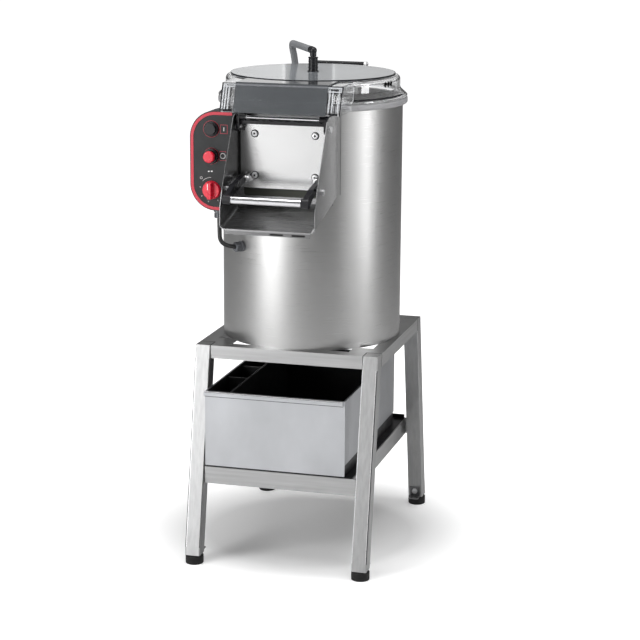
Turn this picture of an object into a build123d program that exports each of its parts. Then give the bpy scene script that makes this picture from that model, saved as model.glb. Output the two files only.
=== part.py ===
from build123d import *
import os
from math import cos, radians, sin, sqrt

os.makedirs("parts", exist_ok=True)

# Electric potato peeler on a floor stand. Millimetres, +Z up, front towards -Y.
# The origin is on the floor, on the axis of the peeling drum.

# ---- driving dimensions ----
sheet = 1.5             # stainless sheet of the drum and chute
fit = 0.05              # running clearance on a radius
gap = 0.3               # clearance between pieces that slide or swing past each other
through = 3000.0        # cuts this long go right through any piece

drum_radius = 205.7
stand_margin = 7.8      # the stand reaches this far past the drum on either side
stand_extra = 1.0       # and this much more at the front and the back
stand_height = 496.5
stand_splay = 89.0      # how far each foot stands in front of or behind the top
leg_size = 35.0
leg_base_z = 22.0
leg_round = 2.0
tube_wall = 1.5
rail_size = 30.0
foot_radius = 20.8
foot_height = 20.0
foot_round = 2.0
stud_radius = 5.0

shelf_z = 186.0
shelf_height = 39.0
shelf_ledge = 35.0
shelf_wall = 3.0

box_left = -176.5
box_right = 151.0
box_front = -262.0
box_back = 210.0
box_top = 402.0
box_sheet = 1.2
liner_wall = 2.5

drum_height = 543.5
rim_over = 10.8         # how far the rim ring stands out from the drum
rim_height = 14.0
rim_drop = 6.0          # how far the rim ring hangs below the drum's edge
abrasive = 4.0
floor_drop = 248.0      # from the drum's edge down to its floor plate
floor_thick = 4.0
table_lift = 20.0       # from the floor plate up to the turning plate
table_thick = 14.0
shaft_radius = 12.5
pulley_drop = 108.0     # from the floor plate down to the pulleys
pulley_height = 24.0
pulley_radius = 90.0
motor_pulley_radius = 28.0
belt_thick = 4.0
motor_offset = 125.0
motor_angle = radians(-30)
motor_radius = 62.0
motor_length = 160.0
waste_y = 146.0
waste_radius = 35.0
waste_wall = 3.0
waste_end = 56.5        # how far the waste pipe ends below the drum

chute_half = 107.0      # outside of the cheeks
chute_reach = 148.0     # from the door frame out to the lip
chute_rise = 236.0      # from the lip up to the top of the cheeks
chute_floor_slope = 0.251
opening_half = 80.0
opening_height = 145.0
frame_out = 7.3         # the door frame stands this far in front of the drum
door_depth = 12.0       # from the door frame to the front of the door plate
plate_thick = 3.0
plate_half = 101.0
plate_height = 143.5
pivot_radius = 5.0
rod_radius = 3.5
latch_pin_radius = 4.0
tube_radius = 8.2
keeper_radius = 4.0

hood_lift = 2.5         # the hood hangs this far above the rim ring
hood_height = 47.0
hood_wall = 2.5
hood_in = 6.7           # the hood's wall stands this far inside the drum's
hood_half = 136.0
disc_in = 11.5
disc_thick = 4.0
lid_panel_half = 104.5
hinge_rod_radius = 3.0

housing_height = 223.0
housing_depth = 65.0
housing_corner = 60.0
start_step = 40.5       # from the top of the panel down to the start button
stop_step = 60.0        # from the start button down to the stop button
knob_step = 76.0        # from the stop button down to the timer knob

# ---- levels and places that follow from them ----
stand_width = 2 * (drum_radius + stand_margin)
stand_depth = stand_width + 2 * stand_extra
drum_top = stand_height + drum_height
rim_radius = drum_radius + rim_over
rim_low = drum_top - rim_drop
rim_high = rim_low + rim_height
floor_z = drum_top - floor_drop
table_z = floor_z + table_lift
pulley_z = floor_z - pulley_drop
motor_x = motor_offset * cos(motor_angle)
motor_y = motor_offset * sin(motor_angle)

frame_y = -drum_radius - frame_out
plate_y = frame_y - door_depth
chute_top = drum_top - 10
chute_lip_y = frame_y - chute_reach
chute_lip_z = chute_top - chute_rise
opening_low = chute_lip_z + 56
opening_high = opening_low + opening_height
plate_low = opening_low + 15
plate_high = plate_low + plate_height
door_pivot = (plate_y - 21, plate_high - 5.5)      # y, z of the door hinge
rod_centre = (plate_y - 19, plate_high + 14.5)
handle_pivot = (plate_y - 25, plate_low + 24)      # y, z where the handle arms turn on the door
handle_centre = (chute_lip_y - 5, plate_low - 5)
keeper = (plate_y - 81, plate_low + 10)

hood_low = rim_high + hood_lift
hood_top = hood_low + hood_height
hood_radius = drum_radius - hood_in
disc_radius = hood_radius - disc_in
disc_top = hood_top + disc_thick
hinge_y = drum_radius + 34.3
hinge_z = hood_top + 0.5

housing_y = frame_y - 20
housing_back = housing_y + housing_depth
housing_left = -drum_radius - 11.3
housing_right = -chute_half
housing_high = chute_top + 3
housing_low = housing_high - housing_height
control_x = housing_left + 50.5
start_z = housing_high - start_step
stop_z = start_z - stop_step
knob_z = stop_z - knob_step

leg_slope = stand_splay / (stand_height - leg_base_z)
leg_run = leg_size * sqrt(1 + leg_slope**2)
leg_x = stand_width / 2 - leg_size / 2

front_up = (Align.CENTER, Align.MIN, Align.MIN)
up = (Align.CENTER, Align.CENTER, Align.MIN)
sunk = (Align.CENTER, Align.CENTER, Align.MAX)


def leg_front(z):
    """y of the front face of a front leg at height z"""
    return -stand_depth / 2 - leg_slope * (stand_height - z)


def on_drum(turn, z):
    """point on the drum's outside, turned from +X by turn degrees, at height z"""
    return Vector(drum_radius * cos(radians(turn)), drum_radius * sin(radians(turn)), z)


def outward(point):
    """level direction from the drum's axis to point"""
    return Vector(point.X, point.Y, 0).normalized()


foot_y = leg_front(leg_base_z) + leg_run / 2

# ---- floor stand ----
leg_length = (stand_height - leg_base_z) * sqrt(1 + leg_slope**2)
bore_length = leg_length - 2 * tube_wall
leg_inside = leg_size - 2 * tube_wall
with BuildPart() as stand_legs:
    for side in (-1, 1):
        for end in (-1, 1):
            lean = (0, -end * leg_slope, 1)
            with BuildSketch(Plane.XY.offset(leg_base_z)):
                with Locations((side * leg_x, -end * foot_y)):
                    RectangleRounded(leg_size, leg_run, leg_round)
            extrude(amount=leg_length, dir=lean)
            with BuildSketch(Plane.XY.offset(leg_base_z + tube_wall)):
                with Locations((side * leg_x, -end * (foot_y + leg_slope * tube_wall))):
                    RectangleRounded(leg_inside, leg_run - 2 * tube_wall, leg_round - tube_wall)
            extrude(amount=bore_length, dir=lean, mode=Mode.SUBTRACT)
            with Locations((side * leg_x, -end * foot_y, leg_base_z)):
                Cylinder(stud_radius, 3 * tube_wall, mode=Mode.SUBTRACT)
stand_legs.part.label = "stand_legs"
export_step(stand_legs.part, "parts/stand_legs.step")

rail_low = stand_height - rail_size
rail_y = stand_depth / 2 - rail_size / 2
side_rail_x = stand_width / 2 - rail_size / 2
rail_core = rail_size - 2 * tube_wall
corner_plate = 45.5     # square gusset plates in the frame's inner corners
corner_thick = 3.0
corner_clear = 0.2
inside_x = stand_width / 2 - rail_size
inside_y = stand_depth / 2 - rail_size
corner_x = inside_x - corner_plate / 2
corner_y = inside_y - corner_clear - corner_plate / 2
drum_bolt_radius = 4.0
drum_bolt_in = 15.7
drum_bolt_x = drum_radius - drum_bolt_in
drum_bolt_places = [(side * drum_bolt_x, along) for side in (-1, 1) for along in (-40, 40)]
inner_top = leg_front(stand_height) + leg_run
inner_low = leg_front(rail_low) + leg_run
notch_x = leg_size - rail_size + corner_clear       # the gussets are notched round the legs
notch_y = inside_y + inner_top + corner_clear
with BuildPart() as top_rails:
    with Locations((0, -rail_y, rail_low), (0, rail_y, rail_low)):
        Box(stand_width - 2 * leg_size, rail_size, rail_size, align=up)
    for side in (-1, 1):
        with BuildSketch(Plane.YZ.offset(side * side_rail_x)):
            with BuildLine():
                Polyline((inner_low, rail_low), (inner_top, stand_height),
                         (-inner_top, stand_height), (-inner_low, rail_low), close=True)
            make_face()
        extrude(amount=rail_size / 2, both=True)
    with Locations((0, -rail_y, rail_low + tube_wall), (0, rail_y, rail_low + tube_wall)):
        Box(stand_width, rail_core, rail_core, align=up, mode=Mode.SUBTRACT)
    with Locations((-side_rail_x, 0, rail_low + tube_wall), (side_rail_x, 0, rail_low + tube_wall)):
        Box(rail_core, stand_depth, rail_core, align=up, mode=Mode.SUBTRACT)
    with Locations((0, 0, stand_height)):
        with GridLocations(2 * corner_x, 2 * corner_y, 2, 2):
            Box(corner_plate, corner_plate, corner_thick, align=sunk)
        with GridLocations(2 * inside_x - notch_x, 2 * inside_y - notch_y, 2, 2):
            Box(notch_x, notch_y, 3 * corner_thick, mode=Mode.SUBTRACT)
    for bolt_x, bolt_y in drum_bolt_places:
        with Locations((bolt_x, bolt_y, stand_height)):
            Cylinder(drum_bolt_radius, 3 * rail_size, mode=Mode.SUBTRACT)
top_rails.part.label = "top_rails"
export_step(top_rails.part, "parts/top_rails.step")

shelf_y = -leg_front(shelf_z + shelf_height) - 0.5
shelf_bar = stand_width / 2 - leg_size      # the bars reach from leg to leg
shelf_half = shelf_bar - 8.5
shelf_inner = shelf_half - shelf_wall
bar_round = 2.4
with BuildPart() as shelf_frame:
    for side, way in ((-1, Align.MIN), (1, Align.MAX)):
        with Locations((0, side * shelf_y, shelf_z)):
            Box(2 * shelf_bar, shelf_wall, shelf_height, align=(Align.CENTER, way, Align.MIN))
    fillet(shelf_frame.edges().filter_by(Axis.Z).filter_by(
        lambda edge: abs(edge.center().Y) > shelf_y - 0.1), bar_round)
    with Locations((-shelf_inner - shelf_wall / 2, 0, shelf_z), (shelf_inner + shelf_wall / 2, 0, shelf_z)):
        Box(shelf_wall, 2 * shelf_y - 1, shelf_height, align=up)
    with Locations((0, 0, shelf_z)):
        Box(2 * shelf_half, 2 * shelf_y - 1, shelf_wall, align=up)
        Box(2 * (shelf_half - shelf_ledge), 2 * (shelf_y - shelf_ledge), 3 * shelf_wall,
            mode=Mode.SUBTRACT)
shelf_frame.part.label = "shelf_frame"
export_step(shelf_frame.part, "parts/shelf_frame.step")

panel_top = shelf_z + shelf_height + 0.2
panel_x = shelf_inner - gap
panel_y = shelf_y - shelf_wall - gap
panel_low = shelf_z + shelf_wall
panel_skin = 3.0
stop_depth = 6.0        # raised edge at the back, which stops the filter box
stop_height = 9.0
with BuildPart() as shelf_panel:
    with Locations((0, 0, panel_low)):
        Box(2 * panel_x, 2 * panel_y, panel_top - panel_low, align=up)
        Box(2 * (panel_x - panel_skin), 2 * (panel_y - panel_skin), panel_top - panel_low - panel_skin,
            align=up, mode=Mode.SUBTRACT)
    with Locations((0, panel_y, panel_top)):
        Box(2 * panel_x, stop_depth, stop_height, align=(Align.CENTER, Align.MAX, Align.MIN))
shelf_panel.part.label = "shelf_panel"
export_step(shelf_panel.part, "parts/shelf_panel.step")

# ---- feet and floor anchors ----
foot_places = {
    "front_left": (-leg_x, foot_y),
    "front_right": (leg_x, foot_y),
    "rear_left": (-leg_x, -foot_y),
    "rear_right": (leg_x, -foot_y),
}
stud_seat = 3.0         # rubber left under the end of the stud
for place in foot_places:
    with BuildPart() as foot:
        with Locations((*foot_places[place], 0)):
            Cylinder(foot_radius, foot_height, align=up)
            fillet(foot.edges().filter_by(GeomType.CIRCLE), foot_round)
            with Locations((0, 0, stud_seat)):
                Cylinder(stud_radius + fit, foot_height, align=up, mode=Mode.SUBTRACT)
    foot.part.label = "foot_" + place
    export_step(foot.part, "parts/foot_" + place + ".step")

nut_radius = 9.5
stud_reach = 5.0        # how far the stud enters the leg
with BuildPart() as foot_studs:
    for place in foot_places:
        with Locations((*foot_places[place], stud_seat)):
            Cylinder(stud_radius, leg_base_z + stud_reach - stud_seat, align=up)
        with BuildSketch(Plane.XY.offset(foot_height + gap)):
            with Locations(foot_places[place]):
                RegularPolygon(nut_radius, 6)
        extrude(amount=leg_base_z - foot_height - gap)
foot_studs.part.label = "foot_studs"
export_step(foot_studs.part, "parts/foot_studs.step")

tab_size = 26.0
tab_half = 12.0
tab_thick = 3.0
tab_inner = foot_y + leg_run / 2
tab_hole = 4.5
tab_reach = 16.0
tab_rise = leg_slope * tab_size
with BuildPart() as anchor_tabs:
    for side in (-1, 1):
        for end in (-1, 1):
            with BuildSketch(Plane.YZ.offset(side * leg_x)):
                with BuildLine():
                    Polyline((end * tab_inner, leg_base_z),
                             (end * (tab_inner + tab_rise), leg_base_z + tab_size),
                             (end * (tab_inner + tab_rise + tab_thick), leg_base_z + tab_size),
                             (end * (tab_inner + tab_thick), leg_base_z + tab_thick),
                             (end * (tab_inner + tab_size), leg_base_z + tab_thick),
                             (end * (tab_inner + tab_size), leg_base_z), close=True)
                make_face()
            extrude(amount=tab_half, both=True)
            with Locations((side * leg_x, end * (tab_inner + tab_reach), leg_base_z)):
                Cylinder(tab_hole, 4 * tab_thick, mode=Mode.SUBTRACT)
anchor_tabs.part.label = "anchor_tabs"
export_step(anchor_tabs.part, "parts/anchor_tabs.step")

tab_bolt_up = 16.0
tab_bolt_radius = 6.5
tab_bolt_head = 4.0
with BuildPart() as anchor_bolts:
    for side in (-1, 1):
        for end in (-1, 1):
            seat_y = end * (tab_inner + leg_slope * tab_bolt_up + tab_thick)
            seat = Plane((side * leg_x, seat_y, leg_base_z + tab_bolt_up), z_dir=(0, end, -leg_slope))
            with Locations(seat):
                Cylinder(tab_bolt_radius, tab_bolt_head, align=up)
anchor_bolts.part.label = "anchor_bolts"
export_step(anchor_bolts.part, "parts/anchor_bolts.step")

# ---- filter box on the shelf ----
box_width = box_right - box_left
box_depth = box_back - box_front
box_x = (box_left + box_right) / 2
box_y = (box_front + box_back) / 2
box_low = panel_top + gap
box_foot = 28.0         # the side walls end this far above the shelf
box_foot_front = 2.5
box_mouth = 3.6         # turned-in edge of the walls, which the lifted baffle clears
hem_height = 11.0
hem_depth = 5.0
hem_left = box_left - 1.5
hem_right = box_right - 4
with BuildPart() as filter_box:
    with Locations((box_x, box_y, box_low + box_foot)):
        Box(box_width, box_depth, box_top - box_low - box_foot, align=up)
    with Locations((box_x, box_front, box_low + box_foot_front)):
        Box(box_width, box_sheet, box_top - box_low - box_foot_front, align=front_up)
    with Locations((box_x, box_y, box_low)):
        Box(box_width - 2 * box_sheet, box_depth - 2 * box_sheet, box_top - box_low - box_sheet,
            align=up, mode=Mode.SUBTRACT)
        Box(box_width - 2 * box_mouth, box_depth - 2 * box_mouth, box_top, align=up, mode=Mode.SUBTRACT)
    with Locations(((hem_left + hem_right) / 2, box_front, box_top - hem_height)):
        Box(hem_right - hem_left, hem_depth, hem_height, align=(Align.CENTER, Align.MAX, Align.MIN))
    fillet(filter_box.edges().filter_by(Axis.X).group_by(Axis.Y)[0], box_sheet)
filter_box.part.label = "filter_box"
export_step(filter_box.part, "parts/filter_box.step")

liner_x = box_width - 2 * box_sheet
liner_y = box_depth - 2 * box_sheet
liner_top = box_top - box_sheet
liner_floor = 3.0
liner_round = 4.0
with BuildPart() as box_liner:
    with Locations((box_x, box_y, box_low)):
        Box(liner_x, liner_y, liner_top - box_low, align=up)
    fillet(box_liner.edges().filter_by(Axis.Z), liner_round)
    with Locations((box_x, box_y, box_low + liner_floor)):
        Box(liner_x - 2 * liner_wall, liner_y - 2 * liner_wall, box_top, align=up, mode=Mode.SUBTRACT)
box_liner.part.label = "box_liner"
export_step(box_liner.part, "parts/box_liner.step")

divider_in = 53.0       # from the box's left side to the long divider
divider_thick = 4.8
divider_crosses = (-105.0, 2.0)
divider_drop = 6.0
divider_x = box_left + divider_in
cell_left = box_left + box_sheet + liner_wall + gap
cell_front = box_front + box_sheet + liner_wall + gap
cell_back = box_back - box_sheet - liner_wall - gap
divider_low = box_low + liner_floor + gap
divider_height = box_top - divider_drop - divider_low
drain_width = 22.0
drain_height = 8.0
drain_pitch = 40.0
with BuildPart() as box_baffle:
    with Locations((divider_x, (cell_front + cell_back) / 2, divider_low)):
        Box(divider_thick, cell_back - cell_front, divider_height, align=up)
    for cross_y in divider_crosses:
        with Locations(((cell_left + divider_x) / 2, cross_y, divider_low)):
            Box(divider_x - cell_left, divider_thick, divider_height, align=up)
    with Locations((divider_x, box_y, divider_low + 1.5 * drain_height)):
        with GridLocations(0, drain_pitch, 1, 11):
            Box(3 * divider_thick, drain_width, drain_height, align=up, mode=Mode.SUBTRACT)
box_baffle.part.label = "box_baffle"
export_step(box_baffle.part, "parts/box_baffle.step")

# ---- drum ----
flange_width = 23.2
flange_thick = 3.0
gland_stem = 8.0
louvre_low = 63.5       # from the bottom of the drum to the first louvre
louvre_pitch = 16.0
louvre_width = 110.0
louvre_height = 5.0
drum_gland = on_drum(235.53, floor_z - 71)
supply_gland = on_drum(70.1, stand_height + 38.5)
opening_mid = (opening_low + opening_high) / 2
with BuildPart() as drum_shell:
    with Locations((0, 0, stand_height)):
        Cylinder(drum_radius, drum_height, align=up)
        Cylinder(drum_radius - flange_width, drum_height, align=up, mode=Mode.SUBTRACT)
        with Locations((0, 0, flange_thick)):
            Cylinder(drum_radius - sheet, drum_height, align=up, mode=Mode.SUBTRACT)
    with Locations((0, -drum_radius, opening_mid)):
        Box(2 * opening_half, drum_radius, opening_height, mode=Mode.SUBTRACT)
    for row in range(7):
        with Locations((0, drum_radius, stand_height + louvre_low + louvre_pitch * row)):
            Box(louvre_width, 40 * sheet, louvre_height, mode=Mode.SUBTRACT)
    for gland in (drum_gland, supply_gland):
        with Locations(Plane(gland, z_dir=outward(gland))):
            Cylinder(gland_stem, 4 * gland_stem, mode=Mode.SUBTRACT)
    for bolt_x, bolt_y in drum_bolt_places:
        with Locations((bolt_x, bolt_y, stand_height)):
            Cylinder(drum_bolt_radius, 4 * flange_thick, mode=Mode.SUBTRACT)
drum_shell.part.label = "drum_shell"
export_step(drum_shell.part, "parts/drum_shell.step")

flange_top = stand_height + flange_thick
drum_bolt_end = 10.0    # thread that shows above the flange
drum_nut_radius = 7.5
drum_nut_height = 5.0
with BuildPart() as drum_bolts:
    for bolt_x, bolt_y in drum_bolt_places:
        with Locations((bolt_x, bolt_y, rail_low)):
            Cylinder(drum_bolt_radius, flange_top + drum_bolt_end - rail_low, align=up)
    for level, way in ((rail_low, -drum_nut_height), (flange_top, drum_nut_height)):
        with BuildSketch(Plane.XY.offset(level)):
            with Locations(*drum_bolt_places):
                RegularPolygon(drum_nut_radius, 6)
        extrude(amount=way)
drum_bolts.part.label = "drum_bolts"
export_step(drum_bolts.part, "parts/drum_bolts.step")

rim_round = 4.0
rim_inner = drum_radius - sheet - abrasive
rim_edge = rim_radius - rim_round
with BuildPart() as rim_ring:
    with BuildSketch(Plane.XZ):
        with BuildLine():
            Line((drum_radius, rim_low), (rim_edge, rim_low))
            RadiusArc((rim_edge, rim_low), (rim_radius, rim_low + rim_round), -rim_round)
            Line((rim_radius, rim_low + rim_round), (rim_radius, rim_high - rim_round))
            RadiusArc((rim_radius, rim_high - rim_round), (rim_edge, rim_high), -rim_round)
            Polyline((rim_edge, rim_high), (rim_inner, rim_high), (rim_inner, rim_low),
                     (drum_radius - sheet, rim_low), (drum_radius - sheet, drum_top),
                     (drum_radius, drum_top), (drum_radius, rim_low))
        make_face()
    revolve(axis=Axis.Z)
rim_ring.part.label = "rim_ring"
export_step(rim_ring.part, "parts/rim_ring.step")

lining_low = table_z - 8
lining_outer = drum_radius - sheet
with BuildPart() as abrasive_lining:
    with Locations((0, 0, lining_low)):
        Cylinder(lining_outer, rim_low - lining_low, align=up)
        Cylinder(lining_outer - abrasive, drum_height, align=up, mode=Mode.SUBTRACT)
    with Locations((0, -drum_radius, opening_mid)):
        Box(2 * opening_half, drum_radius, opening_height, mode=Mode.SUBTRACT)
abrasive_lining.part.label = "abrasive_lining"
export_step(abrasive_lining.part, "parts/abrasive_lining.step")

bearing_neck = 29.0
collar_radius_floor = 36.0
collar_height_floor = 12.0
with BuildPart() as drum_floor:
    with Locations((0, 0, floor_z)):
        Cylinder(lining_outer, floor_thick, align=up)
        Cylinder(collar_radius_floor, collar_height_floor, align=up)
        Cylinder(bearing_neck + 1, 3 * collar_height_floor, mode=Mode.SUBTRACT)
    with Locations((0, waste_y, floor_z)):
        Cylinder(waste_radius - waste_wall, 3 * collar_height_floor, mode=Mode.SUBTRACT)
drum_floor.part.label = "drum_floor"
export_step(drum_floor.part, "parts/drum_floor.step")

waste_flange = 6.0
with BuildPart() as waste_outlet:
    with Locations((0, waste_y, floor_z)):
        Cylinder(waste_radius + waste_flange, floor_thick, align=sunk)
        Cylinder(waste_radius, floor_z - stand_height + waste_end, align=sunk)
        Cylinder(waste_radius - waste_wall, through, mode=Mode.SUBTRACT)
waste_outlet.part.label = "waste_outlet"
export_step(waste_outlet.part, "parts/waste_outlet.step")

# ---- turning plate and drive ----
table_gap = 2.5         # between the turning plate and the drum's lining
table_radius = lining_outer - abrasive - table_gap
table_top = table_z + table_thick
scraper_length = 130.0
scraper_width = 10.0
scraper_height = 9.0
wave_height = 10.0      # of the waves' crests above the plate
wave_half = 34.0
wave_inner = 48.0
wave_outer = 186.0
wave_side = 0.4 * wave_half
wave_shoulder = table_thick + 0.6 * wave_height
wave_crest = table_thick + wave_height
wave_foot = table_thick - 4
with BuildPart() as abrasive_plate:
    with Locations((0, 0, table_z)):
        Cylinder(table_radius, table_thick, align=up)
        with PolarLocations(0.6 * table_radius, 2):
            Box(scraper_length, scraper_width, scraper_height, align=sunk)
        Cylinder(shaft_radius, 4 * table_thick, mode=Mode.SUBTRACT)
    for turn in (15, 135, 255):
        along = (cos(radians(turn)), sin(radians(turn)), 0)
        across = (-sin(radians(turn)), cos(radians(turn)), 0)
        with BuildSketch(Plane((0, 0, table_z), x_dir=across, z_dir=along).offset(wave_inner)):
            with BuildLine():
                Spline((-wave_half, wave_foot), (-wave_side, wave_shoulder), (0, wave_crest),
                       (wave_side, wave_shoulder), (wave_half, wave_foot))
                Line((wave_half, wave_foot), (-wave_half, wave_foot))
            make_face()
        extrude(amount=wave_outer - wave_inner)
abrasive_plate.part.label = "abrasive_plate"
export_step(abrasive_plate.part, "parts/abrasive_plate.step")

shaft_low = pulley_z - 8
cap_radius = 22.0
cap_height = 10.0
cap_round = 4.0
with BuildPart() as drive_shaft:
    with Locations((0, 0, shaft_low)):
        Cylinder(shaft_radius, table_top - shaft_low, align=up)
    with Locations((0, 0, table_top)):
        Cylinder(cap_radius, cap_height, align=up)
    fillet(drive_shaft.edges().filter_by(GeomType.CIRCLE).group_by(Axis.Z)[-1], cap_round)
drive_shaft.part.label = "drive_shaft"
export_step(drive_shaft.part, "parts/drive_shaft.step")

bearing_flange = 58.0
bearing_body = 38.0
bearing_clear = 6.0     # between the bearing housing and the pulley
with BuildPart() as bearing_housing:
    with Locations((0, 0, floor_z)):
        Cylinder(bearing_flange, 2 * floor_thick, align=sunk)
        Cylinder(bearing_neck, collar_height_floor - 2, align=up)
        Cylinder(bearing_body, pulley_drop - pulley_height - bearing_clear, align=sunk)
        Cylinder(shaft_radius + fit, through, mode=Mode.SUBTRACT)
bearing_housing.part.label = "bearing_housing"
export_step(bearing_housing.part, "parts/bearing_housing.step")

hub_radius = 22.0
pulley_rim = pulley_radius - 10
web_low = pulley_z + 0.375 * pulley_height
web_high = pulley_z + 0.625 * pulley_height
pulley_top = pulley_z + pulley_height
with BuildPart() as driven_pulley:
    with BuildSketch(Plane.XZ):
        with BuildLine():
            Polyline((shaft_radius, pulley_z), (hub_radius, pulley_z), (hub_radius, web_low),
                     (pulley_rim, web_low), (pulley_rim, pulley_z), (pulley_radius, pulley_z),
                     (pulley_radius, pulley_top), (pulley_rim, pulley_top), (pulley_rim, web_high),
                     (hub_radius, web_high), (hub_radius, pulley_top), (shaft_radius, pulley_top),
                     close=True)
        make_face()
    revolve(axis=Axis.Z)
driven_pulley.part.label = "driven_pulley"
export_step(driven_pulley.part, "parts/driven_pulley.step")

belt_in = 4.0           # from the pulley's edge to the belt's
with BuildPart() as drive_belt:
    with BuildSketch(Plane.XY.offset(pulley_z + belt_in)):
        with BuildSketch(mode=Mode.PRIVATE) as outer_round:
            Circle(pulley_radius + belt_thick)
            with Locations((motor_x, motor_y)):
                Circle(motor_pulley_radius + belt_thick)
        make_hull(outer_round.edges())
    extrude(amount=pulley_height - 2 * belt_in)
    with BuildSketch(Plane.XY.offset(pulley_z + belt_in)):
        with BuildSketch(mode=Mode.PRIVATE) as inner_round:
            Circle(pulley_radius + fit)
            with Locations((motor_x, motor_y)):
                Circle(motor_pulley_radius + fit)
        make_hull(inner_round.edges())
    extrude(amount=pulley_height - 2 * belt_in, mode=Mode.SUBTRACT)
drive_belt.part.label = "drive_belt"
export_step(drive_belt.part, "parts/drive_belt.step")

motor_top = pulley_z - 12
motor_low = motor_top - motor_length
motor_shaft_radius = 9.5
motor_shaft_depth = 40.0
with BuildPart() as motor_pulley:
    with Locations((motor_x, motor_y, pulley_z)):
        Cylinder(motor_pulley_radius, pulley_height, align=up)
    with Locations((motor_x, motor_y, motor_top - motor_shaft_depth)):
        Cylinder(motor_shaft_radius, pulley_top + belt_in - motor_top + motor_shaft_depth, align=up)
motor_pulley.part.label = "motor_pulley"
export_step(motor_pulley.part, "parts/motor_pulley.step")

fin_depth = 5.0
fin_gap = 2.5
fan_recess = 11.0
shaft_clear = 2.0
with BuildPart() as motor:
    with Locations((motor_x, motor_y, motor_low)):
        Cylinder(motor_radius, motor_length, align=up)
        with PolarLocations(motor_radius, 20):
            Box(2 * fin_depth, fin_gap, motor_length - 50, align=up, mode=Mode.SUBTRACT)
        Cylinder(motor_radius - fin_depth - 1, 2 * fan_recess, mode=Mode.SUBTRACT)
    with Locations((motor_x, motor_y, motor_top)):
        Cylinder(motor_shaft_radius + fit, 2 * (motor_shaft_depth + shaft_clear), mode=Mode.SUBTRACT)
motor.part.label = "motor"
export_step(motor.part, "parts/motor.step")

post_radius = 8.0
mount_plate = 6.0
mount_overhang = 4.0
posts = ((motor_x + 30, motor_y + 62), (motor_x + 48, motor_y - 40), (motor_x - 62, motor_y - 78))
with BuildPart() as motor_plate:
    with Locations((motor_x, motor_y, motor_top)):
        Cylinder(motor_radius + mount_overhang, mount_plate, align=up)
    for post_x, post_y in posts:
        with Locations((post_x, post_y, motor_top)):
            Cylinder(post_radius, floor_z - motor_top, align=up)
        with BuildSketch(Plane.XY.offset(motor_top)):
            with BuildSketch(mode=Mode.PRIVATE) as strap:
                with Locations((post_x, post_y)):
                    Circle(1.75 * post_radius)
                with Locations((motor_x, motor_y)):
                    Circle(2.5 * post_radius)
            make_hull(strap.edges())
        extrude(amount=mount_plate)
    with Locations((motor_x, motor_y, motor_top)):
        Cylinder(motor_shaft_radius + mount_overhang, 4 * mount_plate, mode=Mode.SUBTRACT)
motor_plate.part.label = "motor_plate"
export_step(motor_plate.part, "parts/motor_plate.step")

# ---- chute ----
chute_root = -drum_radius + 55.7        # y inside the drum, where the cheeks are cut off by its wall
brow = (frame_y - 49, chute_top)
cheek = (chute_lip_y + 15, chute_lip_z + 84)
lip_high = (chute_lip_y, chute_lip_z + 44)
brow_round = 22.0
cheek_round = 45.0
lip_round = 25.0
bend_outer = 10.0
bend_inner = bend_outer - sheet


def chute_floor(y):
    """height of the underside of the chute's floor at y"""
    return chute_lip_z + chute_floor_slope * (y - chute_lip_y)


side_profile = ((chute_root, chute_top), brow, cheek, lip_high, (chute_lip_y, chute_lip_z),
                (chute_root, chute_floor(chute_root)))
hollow_back = chute_root + 50
hollow_front = chute_lip_y - 89
with BuildPart() as chute_hollow:
    with BuildSketch(Plane.YZ):
        with BuildLine():
            Polyline((hollow_back, rim_high), (hollow_front, rim_high),
                     (hollow_front, chute_floor(hollow_front) + sheet),
                     (hollow_back, chute_floor(hollow_back) + sheet), close=True)
        make_face()
    extrude(amount=chute_half - sheet, both=True)
    fillet(chute_hollow.faces().sort_by(Axis.Z)[0].edges().filter_by(
        lambda edge: abs(abs(edge.center().X) - chute_half + sheet) < 0.1), bend_inner)

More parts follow.
